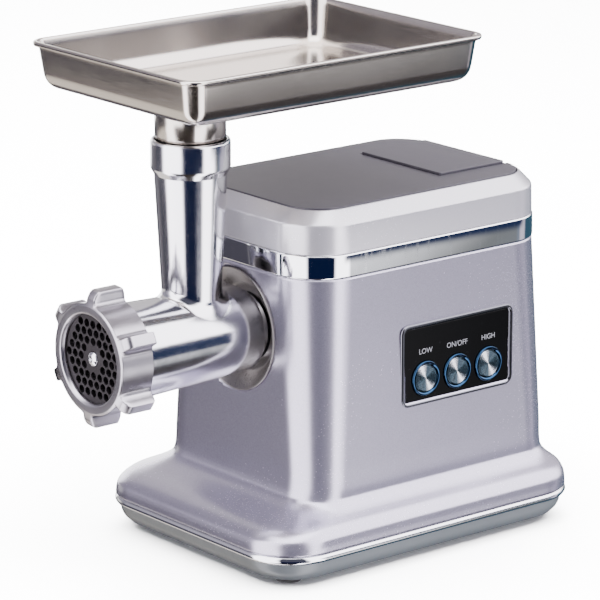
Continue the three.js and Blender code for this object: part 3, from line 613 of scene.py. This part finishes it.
def deck_and_lid():
    """Deck plate with its notch, the raised lid with its knuckles, and the well below it."""
    thickness = deck_high[2] - deck_low[2]
    fit(flat_plate("deck_plate", [deck_outline()], thickness, 0.45 * MM, UP,
                   (0, 0, (deck_low[2] + deck_high[2]) / 2)),
        "chassis", deck_plastic, "deck_plastic", "top_deck")

    low, high = corners("compartment_lid")
    slab_low = high[2] - 2.6 * MM
    outline = frames(high[0], (high[1] - low[1]) / 2, 2.2 * MM, (high[1] + low[1]) / 2, bend=8)[0]
    fit(flat_plate("lid_plate", [outline], high[2] - slab_low, 0.55 * MM, UP,
                   (0, 0, (high[2] + slab_low) / 2)),
        "compartment_lid", deck_plastic, "deck_plastic", "compartment_lid")
    pin = middle("lid_hinge_pin")
    for side, x in (("left", -26 * MM), ("right", 26 * MM)):
        knuckle = bent((1.5 * MM, x - 7 * MM), (2.5 * MM, x - 7 * MM, 0.4 * MM),
                       (2.5 * MM, x + 7 * MM, 0.4 * MM), (1.5 * MM, x + 7 * MM), closed=True)
        fit(turned("lid_knuckle_" + side, knuckle, SIDE, (0, pin[1], pin[2]), 32, loop=True),
            "compartment_lid", deck_plastic, "deck_plastic")

    low, high = corners("compartment_tub")
    section = bent((3 * MM, low[2]), (0, low[2], 2.4 * MM), (0, high[2]), (2 * MM, high[2]),
                   (2 * MM, low[2] + 2 * MM, 3 * MM), (6 * MM, low[2] + 2 * MM))
    fit(hoop("accessory_well", high[0], (high[1] - low[1]) / 2, 8 * MM, section,
             mid_b=(high[1] + low[1]) / 2, caps=(True, True)),
        "chassis", inner_plastic, "dark_plastic", "compartment_tub")


def base():
    """Chrome strip, lower tub with vent slots, four feet."""
    half_x, half_y = strip_high[0], (strip_high[1] - strip_low[1]) / 2
    low, high = strip_low[2], strip_high[2]
    section = bent((1.8 * MM, low), (0, low + 1.0 * MM, 2.2 * MM), (0, high - 1.6 * MM, 2.6 * MM),
                   (2.4 * MM, high, 0.5 * MM),
                   (5 * MM, high), (5 * MM, low), closed=True)
    fit(hoop("chrome_strip", half_x, half_y, 39 * MM, section, mid_b=base_y, loop=True, bend=26),
        "chassis", chrome, "chrome_trim", "base_trim_strip")

    half_x, half_y = tub_high[0], (tub_high[1] - tub_low[1]) / 2
    low, high = tub_low[2], tub_high[2]
    section = bent((16 * MM, low), (9 * MM, low, 4 * MM), (1.5 * MM, low + 6.5 * MM, 4 * MM),
                   (0, high), (3 * MM, high), (4.5 * MM, low + 9 * MM, 4 * MM),
                   (12 * MM, low + 3 * MM, 3 * MM), (16 * MM, low + 3 * MM))
    fit(hoop("lower_tub_wall", half_x, half_y, 38 * MM, section, mid_b=base_y, loop=True, bend=26),
        "chassis", base_plastic, "base_plastic", "base_tub")
    floor = frames(half_x - 15.5 * MM, half_y - 15.5 * MM, 22.5 * MM, base_y, bend=16)[0]
    slots = [frames(2 * MM, 25 * MM, 1.9 * MM, base_y + 55 * MM, bend=6)[0]
             + np.array([x * MM, 0]) for x in (-24, -12, 0, 12, 24)]
    fit(flat_plate("lower_tub_floor", [floor, *slots], 3 * MM, 0.4 * MM, UP,
                   (0, 0, low + 1.5 * MM)), "chassis", base_plastic, "base_plastic")

    for end in ("front", "back"):
        for side in ("left", "right"):
            node = f"foot_{end}_{side}"
            low, high = corners(node)
            radius = (high[0] - low[0]) / 2
            pad = bent((0.4 * radius, low[2] + 0.6 * MM), (0.5 * radius, low[2], 0.3 * MM),
                       (radius - 0.8 * MM, low[2], 0.9 * MM), (radius, high[2]))
            fit(turned("rubber_" + node, pad, UP, (*middle(node)[:2], 0), 48, caps=(True, True)),
                "chassis", rubber, "foot_rubber", node)


def cord_outlet():
    """Outlet bush on the rear wall: a turned flange and a tapering sleeve with a bore."""
    low, high = corners("cord_gland")
    back, front = high[1], low[1]
    flange = back - 9.2 * MM
    outer = 10 * MM
    section = bent((3.6 * MM, -back), (5.6 * MM, -back, 0.6 * MM), (7.4 * MM, -flange + 1.6 * MM),
                   (outer, -flange + 1.6 * MM, 0.8 * MM), (outer, -flange + 3.4 * MM),
                   (6.9 * MM, -flange + 3.4 * MM), (6.9 * MM, -front), (3.6 * MM, -front),
                   closed=True)
    x, z = middle("cord_gland")[0], middle("cord_gland")[2]
    fit(turned("cord_outlet", section, FORWARD, (x, 0, z), 56, loop=True),
        "chassis", rubber, "dark_plastic", "cord_gland")


# ---------- grinding head

def socket_ring():
    """Conical ring in the housing's front, turned round the barrel's axis."""
    face = -corners("head_socket_ring")[0][1]
    floor = face - 13.4 * MM
    section = bent((44.1 * MM, face - 4 * MM), (44.1 * MM, face - 0.5 * MM, 0.5 * MM),
                   (43.2 * MM, face - 0.4 * MM, 0.6 * MM), (31 * MM, floor, 1.5 * MM),
                   (24.7 * MM, floor, 0.5 * MM), (24.7 * MM, floor - 3 * MM),
                   (33 * MM, floor - 3 * MM), (43 * MM, face - 5 * MM), closed=True)
    # the darkened steel paints the recess's shade into the cone's colour
    return fit(turned("socket_cone", section, FORWARD, (0, 0, head_z), 128, loop=True),
               "chassis", shade_darkened_recess_steel, "brushed_steel", "head_socket_ring")


BARREL_BACK, BARREL_FRONT = 30.3 * MM, 34 * MM
TUBE_LOW, TUBE_TOP = 20.9 * MM, 25.2 * MM
TUBE_LOW_Z, TUBE_TOP_Z = 196 * MM, 278.5 * MM


def tube_radius(z):
    return TUBE_LOW + (TUBE_TOP - TUBE_LOW) * (z - TUBE_LOW_Z) / (TUBE_TOP_Z - TUBE_LOW_Z)


def barrel_radius(y):
    """Outer radius of the barrel, which widens evenly from the housing to the thread."""
    back, front = cast_high[1] - 7 * MM, cast_low[1] + 20 * MM
    share = np.clip((back - y) / (back - front), 0, 1)
    return BARREL_BACK + (BARREL_FRONT - BARREL_BACK) * share


def barrel():
    """Barrel, thread stand-in and rear neck: one closed section turned round the axis."""
    front, back = -cast_low[1], -cast_high[1]
    rear = back + 7 * MM
    section = bent((14.6 * MM, back), (24 * MM, back, 1 * MM), (24 * MM, rear, 1.2 * MM),
                   (BARREL_BACK, rear, 2.6 * MM), (BARREL_FRONT, front - 20 * MM, 1 * MM),
                   (35.8 * MM, front - 17 * MM, 0.6 * MM), (35.8 * MM, front, 0.8 * MM),
                   (34.9 * MM, front), (34.9 * MM, front - 10.5 * MM),
                   (27.6 * MM, front - 10.5 * MM), (27.6 * MM, rear + 5 * MM),
                   (14.6 * MM, rear + 5 * MM), closed=True)
    mouth = TUBE_LOW - 3.4 * MM

    def throat(x, y, z):
        return (z > head_z) & (np.hypot(x, y - tube_y) < mouth)

    steps = np.linspace(0, 1, 40)[:, None]
    filled = []
    for a, b in zip(section, np.roll(section, -1, 0)):
        long_run = abs(a[1] - b[1]) > 20 * MM
        filled.append(a + (b - a) * steps[:-1] if long_run else a[None])
    return turned("barrel", np.concatenate(filled), FORWARD, (0, 0, head_z), 144, loop=True,
                  open_at=throat)


def feed_tube():
    """Feed tube: its foot sweeps out in a quarter round to meet the barrel's skin, the wall
    tapers up to the collar, and the inside runs back down to the barrel's bore.

    Height at angle t is the barrel's height over that point plus the rise of the sweep, and
    it eases into level rings higher up.
    """
    t = np.linspace(0, FULL, 128, endpoint=False)[None, :]
    foot = 6 * MM
    s = np.linspace(0, QUARTER, 12)[:, None]
    low = tube_radius(TUBE_LOW_Z)
    reach = low + foot * (1 - np.sin(s))

    def skin(radius):
        x, y = radius * np.cos(t), tube_y + radius * np.sin(t)
        across = np.minimum(np.abs(x), BARREL_BACK * 0.999)
        return head_z + np.sqrt(barrel_radius(y) ** 2 - across ** 2)

    foot_z = skin(reach) + foot * (1 - np.cos(s)) - 0.05 * MM
    start = foot_z[-1:]
    rise = np.linspace(0, 1, 24)[1:, None]
    wall_z = start + (TUBE_TOP_Z - start) * rise
    wall_r = tube_radius(TUBE_LOW_Z) + (TUBE_TOP - low) * rise + 0 * t
    collar = bent((TUBE_TOP, TUBE_TOP_Z), (27.7 * MM, 283 * MM, 1.4 * MM),
                  (27.7 * MM, 301.2 * MM, 0.8 * MM), (26.9 * MM, 303 * MM, 0.7 * MM),
                  (25.2 * MM, 303 * MM, 0.5 * MM), (25.2 * MM, 285 * MM),
                  (21.6 * MM, 285 * MM, 0.5 * MM), (21.6 * MM, 281 * MM), (17.9 * MM, 200 * MM))
    inner_r = 17.7 * MM + 0 * t
    inner_z = skin(17.7 * MM + 0 * s[:1]) - 6.5 * MM
    radius = np.concatenate([reach + 0 * t, wall_r, collar[:, :1] + 0 * t, inner_r])
    height = np.concatenate([foot_z, wall_z, collar[:, 1:] + 0 * t, inner_z])
    points = np.stack([radius * np.cos(t), tube_y + radius * np.sin(t), height], -1)
    return grid("feed_tube", points)


def cast_head():
    fit(barrel(), "head", casting, "cast_aluminium", "head_casting")
    fit(feed_tube(), "head", casting, "cast_aluminium")


def ring_nut():
    """Turned ring whose outer radius rises into tabs: radius plus height times a soft step and
    a wider root, both of the way round from the nearest tab's middle, times a quarter round
    at each end of the tab."""
    front, back = -nut_low[1], -nut_high[1]
    body, opening, lip = NUT_RADIUS, NUT_OPENING, front - 3.8 * MM
    height = (nut_high[2] - nut_low[2]) / 2 - body + 0.3 * MM
    spacing = FULL / TABS
    rows = np.linspace(0, 1, 44)[1:-1, None]
    outer = np.concatenate([[(body - 1.2 * MM, back)],
                            np.hstack([body + 0 * rows, back + (front - back) * rows])])
    inner = bent((body, front - 1.2 * MM), (body - 1.4 * MM, front, 0.8 * MM),
                 (opening + 1.4 * MM, front, 1 * MM), (opening, front - 2.6 * MM, 0.6 * MM),
                 (opening, lip), (NUT_THREAD, lip), (NUT_THREAD, back))

    def tabs(t, r, h):
        nearest = (t - FIRST_TAB + spacing / 2) % spacing - spacing / 2
        away = np.abs(nearest) * (body + height * 0.5)
        flank = np.clip((5.2 * MM - away) / (1.6 * MM), 0, 1)
        root = np.clip((9.5 * MM - away) / (5.0 * MM), 0, 1)
        side = 0.72 * flank ** 2 * (3 - 2 * flank) + 0.28 * root ** 2
        corner = np.clip(np.minimum((front - h) / (6.5 * MM), (h - back) / (3.4 * MM)), 0, 1)
        ends = np.sqrt(1 - (1 - corner) ** 2)
        on_rim = np.abs(r - body) < 0.01 * MM
        return r + np.where(on_rim, height * side * ends, 0)

    piece = turned("locking_ring", np.concatenate([outer, inner]), FORWARD, (0, 0, head_z), 600,
                   wave=tabs, loop=True, smooth_angle=50)
    return fit(piece, "ring_nut", nut_casting, "cast_aluminium", "ring_nut")


def cutting_plate():
    """Round plate, holes in a triangular pattern with a clear hub, and a bore in its centre."""
    low, high = corners("cutting_plate")
    pitch, hole = 7 * MM, 2.85 * MM
    row, column = np.meshgrid(np.arange(-6, 7), np.arange(-6, 7), indexing="ij")
    x = (column + 0.5 * (row % 2)) * pitch
    y = row * pitch * math.sqrt(3) / 2
    distance = np.hypot(x, y)
    keep = (distance > 8.5 * MM) & (distance < 30 * MM)
    holes = [circle(hole, 20, at) for at in zip(x[keep], y[keep])]
    outlines = [circle((high[0] - low[0]) / 2, 96), circle(5.6 * MM, 32), *holes]
    piece = flat_plate("grinding_plate", outlines, high[1] - low[1], 0.25 * MM, FORWARD,
                       (0, (low[1] + high[1]) / 2, head_z))
    return fit(piece, "cutting_plate", plate_steel, "steel", "cutting_plate")


def feed_screw():
    """Auger core with its nose, drive square and plug, and a helical flight round it."""
    low, high = corners("auger")
    front, back = -low[1], -high[1]
    core_start, core_end = back + 17.5 * MM, front - 15 * MM
    section = bent((6.9 * MM, back), (7.4 * MM, back + 1 * MM), (7.4 * MM, core_start),
                   (12.5 * MM, core_start, 1 * MM), (12.5 * MM, core_end, 2 * MM),
                   (7.2 * MM, core_end + 1 * MM), (6.6 * MM, front - 8.4 * MM),
                   (5.2 * MM, front - 8.2 * MM), (5.2 * MM, front - 1.6 * MM, 1 * MM),
                   (2.6 * MM, front, 1 * MM), (1.2 * MM, front, 0.3 * MM),
                   (0.8 * MM, front - 1 * MM))
    fit(turned("screw_core", section, FORWARD, (0, 0, head_z), 64, caps=(True, True)),
        "auger", casting, "cast_aluminium", "auger")
    pitch, root, top = 27 * MM, 11.8 * MM, 26.5 * MM
    turns = (core_end - core_start - 8 * MM) / pitch
    t = np.linspace(0, turns * FULL, 220)[:, None]
    lift = np.clip(t / 2.2, 0, 1)
    across = bent((root, -2.4 * MM), (root, 2.4 * MM), (top, 1.1 * MM, 0.8 * MM),
                  (top, -1.1 * MM, 0.8 * MM), closed=True)
    radius = np.minimum(across[None, :, 0], root + (top - root) * (0.35 + 0.65 * lift))
    along = core_start + 4 * MM + pitch * t / FULL + across[None, :, 1]
    local = np.stack([radius * np.cos(t), -radius * np.sin(t), along + 0 * radius], -1)
    flight = grid("screw_flight", local @ FORWARD + np.array([0, 0, head_z]), caps=(True, True))
    fit(flight, "auger", casting, "cast_aluminium")


def knife():
    """Four-armed knife: arms as a soft function of the angle, with a square hole."""
    low, high = corners("cutter_knife")
    t = np.linspace(0, FULL, 240, endpoint=False)
    arm = np.abs((t + QUARTER / 2) % QUARTER - QUARTER / 2)
    radius = np.minimum(29 * MM, np.maximum(12 * MM, 5.4 * MM / np.maximum(np.sin(arm), 0.02)))
    outline = np.stack([radius * np.cos(t), radius * np.sin(t)], -1)
    square = circle(6.3 * MM * math.sqrt(2), 4, turn=QUARTER / 2)
    piece = flat_plate("knife_blades", [outline, square], high[1] - low[1], 0.5 * MM, FORWARD,
                       (0, (low[1] + high[1]) / 2, head_z))
    return fit(piece, "auger", steel, "steel", "cutter_knife")


def feed_tray():
    """Pressed tray as one sheet: rolled rim, steep walls, round floor edge, a level floor that
    narrows to a round hole, and a stub that drops into the collar."""
    half_x, half_y = tray_high[0], (tray_high[1] - tray_low[1]) / 2
    mid = middle("feed_tray")[1]
    rim = tray_high[2]
    floor = rim - 33 * MM
    inset, height = bent((2.6 * MM, rim - 3.4 * MM), (0.6 * MM, rim - 3.9 * MM, 1.4 * MM),
                         (0, rim - 0.4 * MM, 1.9 * MM), (3.6 * MM, rim - 0.2 * MM, 1.6 * MM),
                         (4.6 * MM, rim - 5 * MM, 1.5 * MM), (8.4 * MM, floor, 11 * MM),
                         (22 * MM, floor), bend=10).T
    corner = np.maximum(14 * MM - inset * 0.5, 8 * MM)
    rings = frames(half_x - inset, half_y - inset, corner, mid, bend=20, along=9)
    edge = rings[-1]
    away = edge - np.array([0, tube_y])
    unit = away / np.linalg.norm(away, axis=1)[:, None]
    hole = np.array([0, tube_y]) + unit * 25.5 * MM
    share = np.linspace(0, 1, 22)[1:, None, None]
    floor_rings = edge + (hole - edge) * share
    stub = bent((25.5 * MM, floor), (23.9 * MM, floor, 1.5 * MM), (23.5 * MM, floor - 12 * MM),
                (23.5 * MM, tray_low[2]))[1:]
    stub_rings = np.array([0, tube_y]) + unit[None] * stub[:, 0][:, None, None]
    every = np.concatenate([rings, floor_rings, stub_rings])
    z = np.concatenate([height, np.full(len(floor_rings), floor), stub[:, 1]])
    piece = stacked("meat_tray", every, z, smooth_angle=60)
    thicken(piece, TRAY_SHEET)
    return fit(piece, "feed_tray", tray_steel, "brushed_steel", "feed_tray")


# ---------- control panel

def control_panel():
    """Chrome frame, black panel with round holes, rings, spun buttons with a painted highlight,
    and printed words.
    """
    half_y, half_z = (bezel_high[1] - bezel_low[1]) / 2, (bezel_high[2] - bezel_low[2]) / 2
    mid_y, mid_z = middle("panel_bezel")[1], middle("panel_bezel")[2]
    inner, outer = bezel_low[0], bezel_high[0]
    section = bent((0, inner), (0, outer, 2.2 * MM), (2.2 * MM, outer, 1.2 * MM),
                   (2.9 * MM, outer - 1.2 * MM, 0.5 * MM), (3.6 * MM, outer - 1.2 * MM, 0.3 * MM),
                   (3.6 * MM, inner), closed=True, bend=7)
    fit(hoop("panel_frame", half_y, half_z, 7 * MM, section, SIDE, (0, mid_y, mid_z), loop=True,
             bend=16), "chassis", smoked_chrome, "chrome_trim", "panel_bezel")

    low, high = corners("control_panel")
    panel_face = high[0]
    outline = frames((high[1] - low[1]) / 2, (high[2] - low[2]) / 2, 3.2 * MM, bend=8)[0]
    names = ("low", "power", "high")
    centres = {n: middle("button_ring_" + n) for n in names}
    holes = [circle(12.9 * MM, 56, (centres[n][1] - mid_y, centres[n][2] - mid_z)) for n in names]
    fit(flat_plate("black_panel", [outline, *holes], high[0] - low[0], 0.25 * MM, SIDE,
                   ((low[0] + high[0]) / 2, mid_y, mid_z)),
        "chassis", panel_black, "gloss_panel", "control_panel")

    for name, word in zip(names, ("LOW", "ON/OFF", "HIGH")):
        low, high = corners("button_ring_" + name)
        centre = centres[name]
        section = bent((12.7 * MM, low[0]), (12.7 * MM, high[0] - 0.3 * MM, 1.0 * MM),
                       (11.6 * MM, high[0], 0.6 * MM), (10.3 * MM, high[0] - 1.0 * MM, 0.5 * MM),
                       (10.3 * MM, low[0]), closed=True)
        fit(turned("chrome_ring_" + name, section, SIDE, (0, centre[1], centre[2]), 88, loop=True),
            "chassis", blue_chrome, "chrome_trim", "button_ring_" + name)
        low, high = corners("button_" + name)
        face = high[0]
        section = bent((3.9 * MM, low[0]), (3.9 * MM, face - 6 * MM),
                       (9.9 * MM, face - 6 * MM, 0.4 * MM),
                       (9.9 * MM, face - 0.3 * MM, 0.8 * MM), (8.6 * MM, face, 0.4 * MM),
                       (4 * MM, face - 0.5 * MM, 2 * MM), (0.3 * MM, face - 0.8 * MM))
        # painted highlight: a bright fan along (-0.50, 0.87) on a dark blue-grey face stands in
        # for the spun metal's reflection
        spun = spun_face("spun button " + name, centre, (0.035, 0.055, 0.07), (0.95, 0.96, 1.0),
                         (-0.50, 0.87), SIDE)
        fit(turned("spun_button_" + name, section, SIDE, (0, centre[1], centre[2]), 88,
                   caps=(True, True)), "button_" + name, spun, "brushed_steel", "button_" + name)
        text = bpy.data.curves.new("word", "FONT")
        text.body = word
        text.size = 5.4 * MM
        text.align_x = "CENTER"
        text.extrude = 0.06 * MM
        label = settle(bpy.data.objects.new("word", text), "label_" + name, SIDE,
                       (panel_face + 0.07 * MM, centre[1], centre[2] + 18.2 * MM))
        fit(label, "chassis", label_white, "gloss_panel")


# ---------- pieces kept from the frame

KEPT = {
    "lid_hinge_pin": steel, "gearbox_housing": inner_plastic, "gearbox_cover": inner_plastic,
    "output_bush_front": natural_nylon, "output_bush_back": natural_nylon, "idler_pin": steel,
    "motor_can": steel, "motor_end_plate": steel, "motor_cradle": inner_plastic,
    "switch_low": inner_plastic, "switch_power": inner_plastic, "switch_high": inner_plastic,
    "control_board": board_green, "auger_bush": natural_nylon, "output_gear": steel,
    "output_shaft": steel, "idler_gear": natural_nylon, "motor_armature": winding,
    "motor_pinion": steel, "motor_fan": natural_nylon,
}


def finish_kept():
    for node, finish in KEPT.items():
        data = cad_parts[node].data
        data.materials.clear()
        data.materials.append(finish)


# ---------- stage, light and camera

def floor():
    sheet = flat_plate("floor", [frames(6, 6, 0.5, bend=4)[0]], 0.02, 0.001, UP, (0, 0, -0.0102))
    f = Finish("pale floor")
    tone = f.noise(3, 2)
    sheet.data.materials.clear()
    sheet.data.materials.append(f.done(f.blend(tone, (0.93, 0.93, 0.94), (0.96, 0.96, 0.96)), 0.7))
    sheet.visible_glossy = sheet.visible_diffuse = False


def area_light(name, place, aim, size, power):
    """A white panel of light at a place, turned towards an aim."""
    data = bpy.data.lights.new(name, "AREA")
    data.shape = "RECTANGLE"
    data.size, data.size_y = size
    data.energy = power
    light = bpy.data.objects.new(name, data)
    light.location = place
    light.rotation_euler = (Vector(aim) - Vector(place)).to_track_quat("-Z", "Y").to_euler()
    bpy.context.scene.collection.objects.link(light)
    return light


def studio():
    """A studio tent of upright panels seen in reflections, and even fill light.

    The brightness of the tent is a ramp over compass angle: one high up, one just below the
    horizon, which upright walls mirror, and one deep down, for walls that lean in. A strip of
    horizon is dark on the panel side and glows opposite the panel. Diffuse light is a plain
    gradient, strongest from the panel side. The background is white.
    """
    world = bpy.data.worlds.new("studio")
    bpy.context.scene.world = world
    world.use_nodes = True
    sky = Nodes(world.node_tree)
    coord = sky.node("ShaderNodeTexCoord", {}, {}, "Generated")
    x, y, z = (sky.node("ShaderNodeSeparateXYZ", {}, {0: coord}, k) for k in range(3))
    angle = sky.node("ShaderNodeMath", {"operation": "ARCTAN2"}, {0: y, 1: x}) / FULL + 0.5
    low, high, deep = (sky.node("ShaderNodeValToRGB", {"stops": panels(colors)}, {"Fac": angle})
                       for colors in (LOW_PANELS, HIGH_PANELS, DEEP_PANELS))
    walls = sky.blend(sky.step(z, -0.37, -0.45), low, deep)
    walls = sky.blend(sky.step(z, -0.10, 0.20), walls, high)
    tent = sky.blend(sky.step(z, 0.80, 0.92), walls, (7.0, 6.9, 7.2))
    strip = sky.ramp(z * 0.5 + 0.5, (0.385, 0.0), (0.40, 1.0), (0.58, 1.0), (0.60, 0.0))
    side = sky.ramp(angle, (0.55, 0.0), (0.58, 1.0), (0.66, 1.0), (0.70, 0.0))
    tent = sky.blend(strip * side, tent, (0.02, 0.035, 0.10))
    glow = sky.ramp(z * 0.5 + 0.5, (0.41, 0.0), (0.43, 1.0), (0.54, 1.0), (0.57, 0.0))
    opposite = sky.ramp(angle, (0.0, 1.0), (0.04, 1.0), (0.08, 0.0))
    tent = sky.blend(glow * opposite, tent, (1.3, 1.25, 1.22))
    fill = sky.blend(x * 0.52 + y * 0.08 + z * 0.08 + 0.025, (0.0, 0.0, 0.0), (3.5, 3.4, 3.7))
    glossy = sky.node("ShaderNodeLightPath", {}, {}, "Is Glossy Ray")
    seen = sky.node("ShaderNodeLightPath", {}, {}, "Is Camera Ray")
    light = sky.blend(seen, sky.blend(glossy, fill, tent), (9.0, 9.0, 9.0))
    background = sky.tree.nodes["Background"]
    sky.tree.links.new(light.socket, background.inputs["Color"])
    background.inputs["Strength"].default_value = 1.0
    area_light("overhead", (0.1, -0.1, 1.6), (0, 0, 0.1), (1.2, 1.2), 9)
    area_light("back_fill", (-2.2, 0.7, 0.3), (0, 0, 0.15), (1.2, 1.2), 22)
    sweep = area_light("floor_light", (0, 0, 2.6), (0, 0, 0), (5, 5), 2600)
    only_floor = bpy.data.collections.new("floor_only")
    only_floor.objects.link(bpy.data.objects["floor"])
    sweep.light_linking.receiver_collection = only_floor


def panels(stops):
    """Ramp stops from compass angles in degrees, from -180 to 180, and linear colours."""
    return [((angle + 180) / 360, (*color, 1)) for angle, color in stops]


WHITE, LILAC, GREY = (6.5, 6.3, 6.6), (0.95, 0.88, 1.05), (0.16, 0.15, 0.18)
NAVY, TEAL = (0.006, 0.012, 0.05), (0.05, 0.12, 0.18)
WARM, UMBER = (1.5, 1.38, 1.26), (0.05, 0.04, 0.036)

# compass angle is measured from the panel side (+X), and the head's side is at -90 degrees
LOW_PANELS = ((-180, (0.3, 0.28, 0.3)), (-150, (0.08, 0.075, 0.10)), (-126, (0.10, 0.095, 0.12)),
              (-119, WHITE), (-67, WHITE), (-60, NAVY), (-3, NAVY), (4, WHITE), (32, WHITE),
              (38, (1.4, 1.4, 1.45)), (40, (1.2, 1.2, 1.25)), (43, (0.25, 0.26, 0.26)),
              (52, (0.3, 0.35, 0.45)),
              (58, LILAC), (70, LILAC), (76, TEAL), (122, TEAL), (150, GREY))
DEEP_PANELS = ((-180, WARM), (-130, WARM), (-127, WHITE), (-100, WHITE), (-92, UMBER),
               (-22, UMBER), (-13, WHITE), (15, WHITE),
               (20, (0.07, 0.063, 0.067)), (60, (0.09, 0.082, 0.09)), (80, TEAL), (150, GREY))
HIGH_PANELS = ((-180, (0.5, 0.46, 0.55)), (-150, (0.35, 0.33, 0.4)), (-130, LILAC), (-118, WHITE),
               (-72, WHITE), (-62, (0.1, 0.1, 0.14)), (-10, (0.1, 0.1, 0.14)), (2, WHITE),
               (85, WHITE), (105, (1.3, 1.2, 1.3)), (150, (0.9, 0.85, 0.85)))


def camera():
    """Long lens, a quarter turn to the right of the head's side and a little above it."""
    azimuth, elevation, distance = math.radians(50.86), math.radians(15.34), 2.679
    target = Vector((-0.0266, 0.0241, 0.1619))
    back = Vector((math.sin(azimuth) * math.cos(elevation),
                   -math.cos(azimuth) * math.cos(elevation), math.sin(elevation)))
    data = bpy.data.cameras.new("camera")
    data.lens = 223.8
    data.sensor_width = 36
    data.clip_end = 50
    seer = bpy.data.objects.new("camera", data)
    seer.location = target + back * distance
    seer.rotation_euler = back.to_track_quat("Z", "Y").to_euler()
    bpy.context.scene.collection.objects.link(seer)
    bpy.context.scene.camera = seer


camera()
floor()
studio()
housing()
upper_housing()
deck_and_lid()
base()
cord_outlet()
socket_ring()
cast_head()
ring_nut()
cutting_plate()
feed_screw()
knife()
feed_tray()
control_panel()
finish_kept()
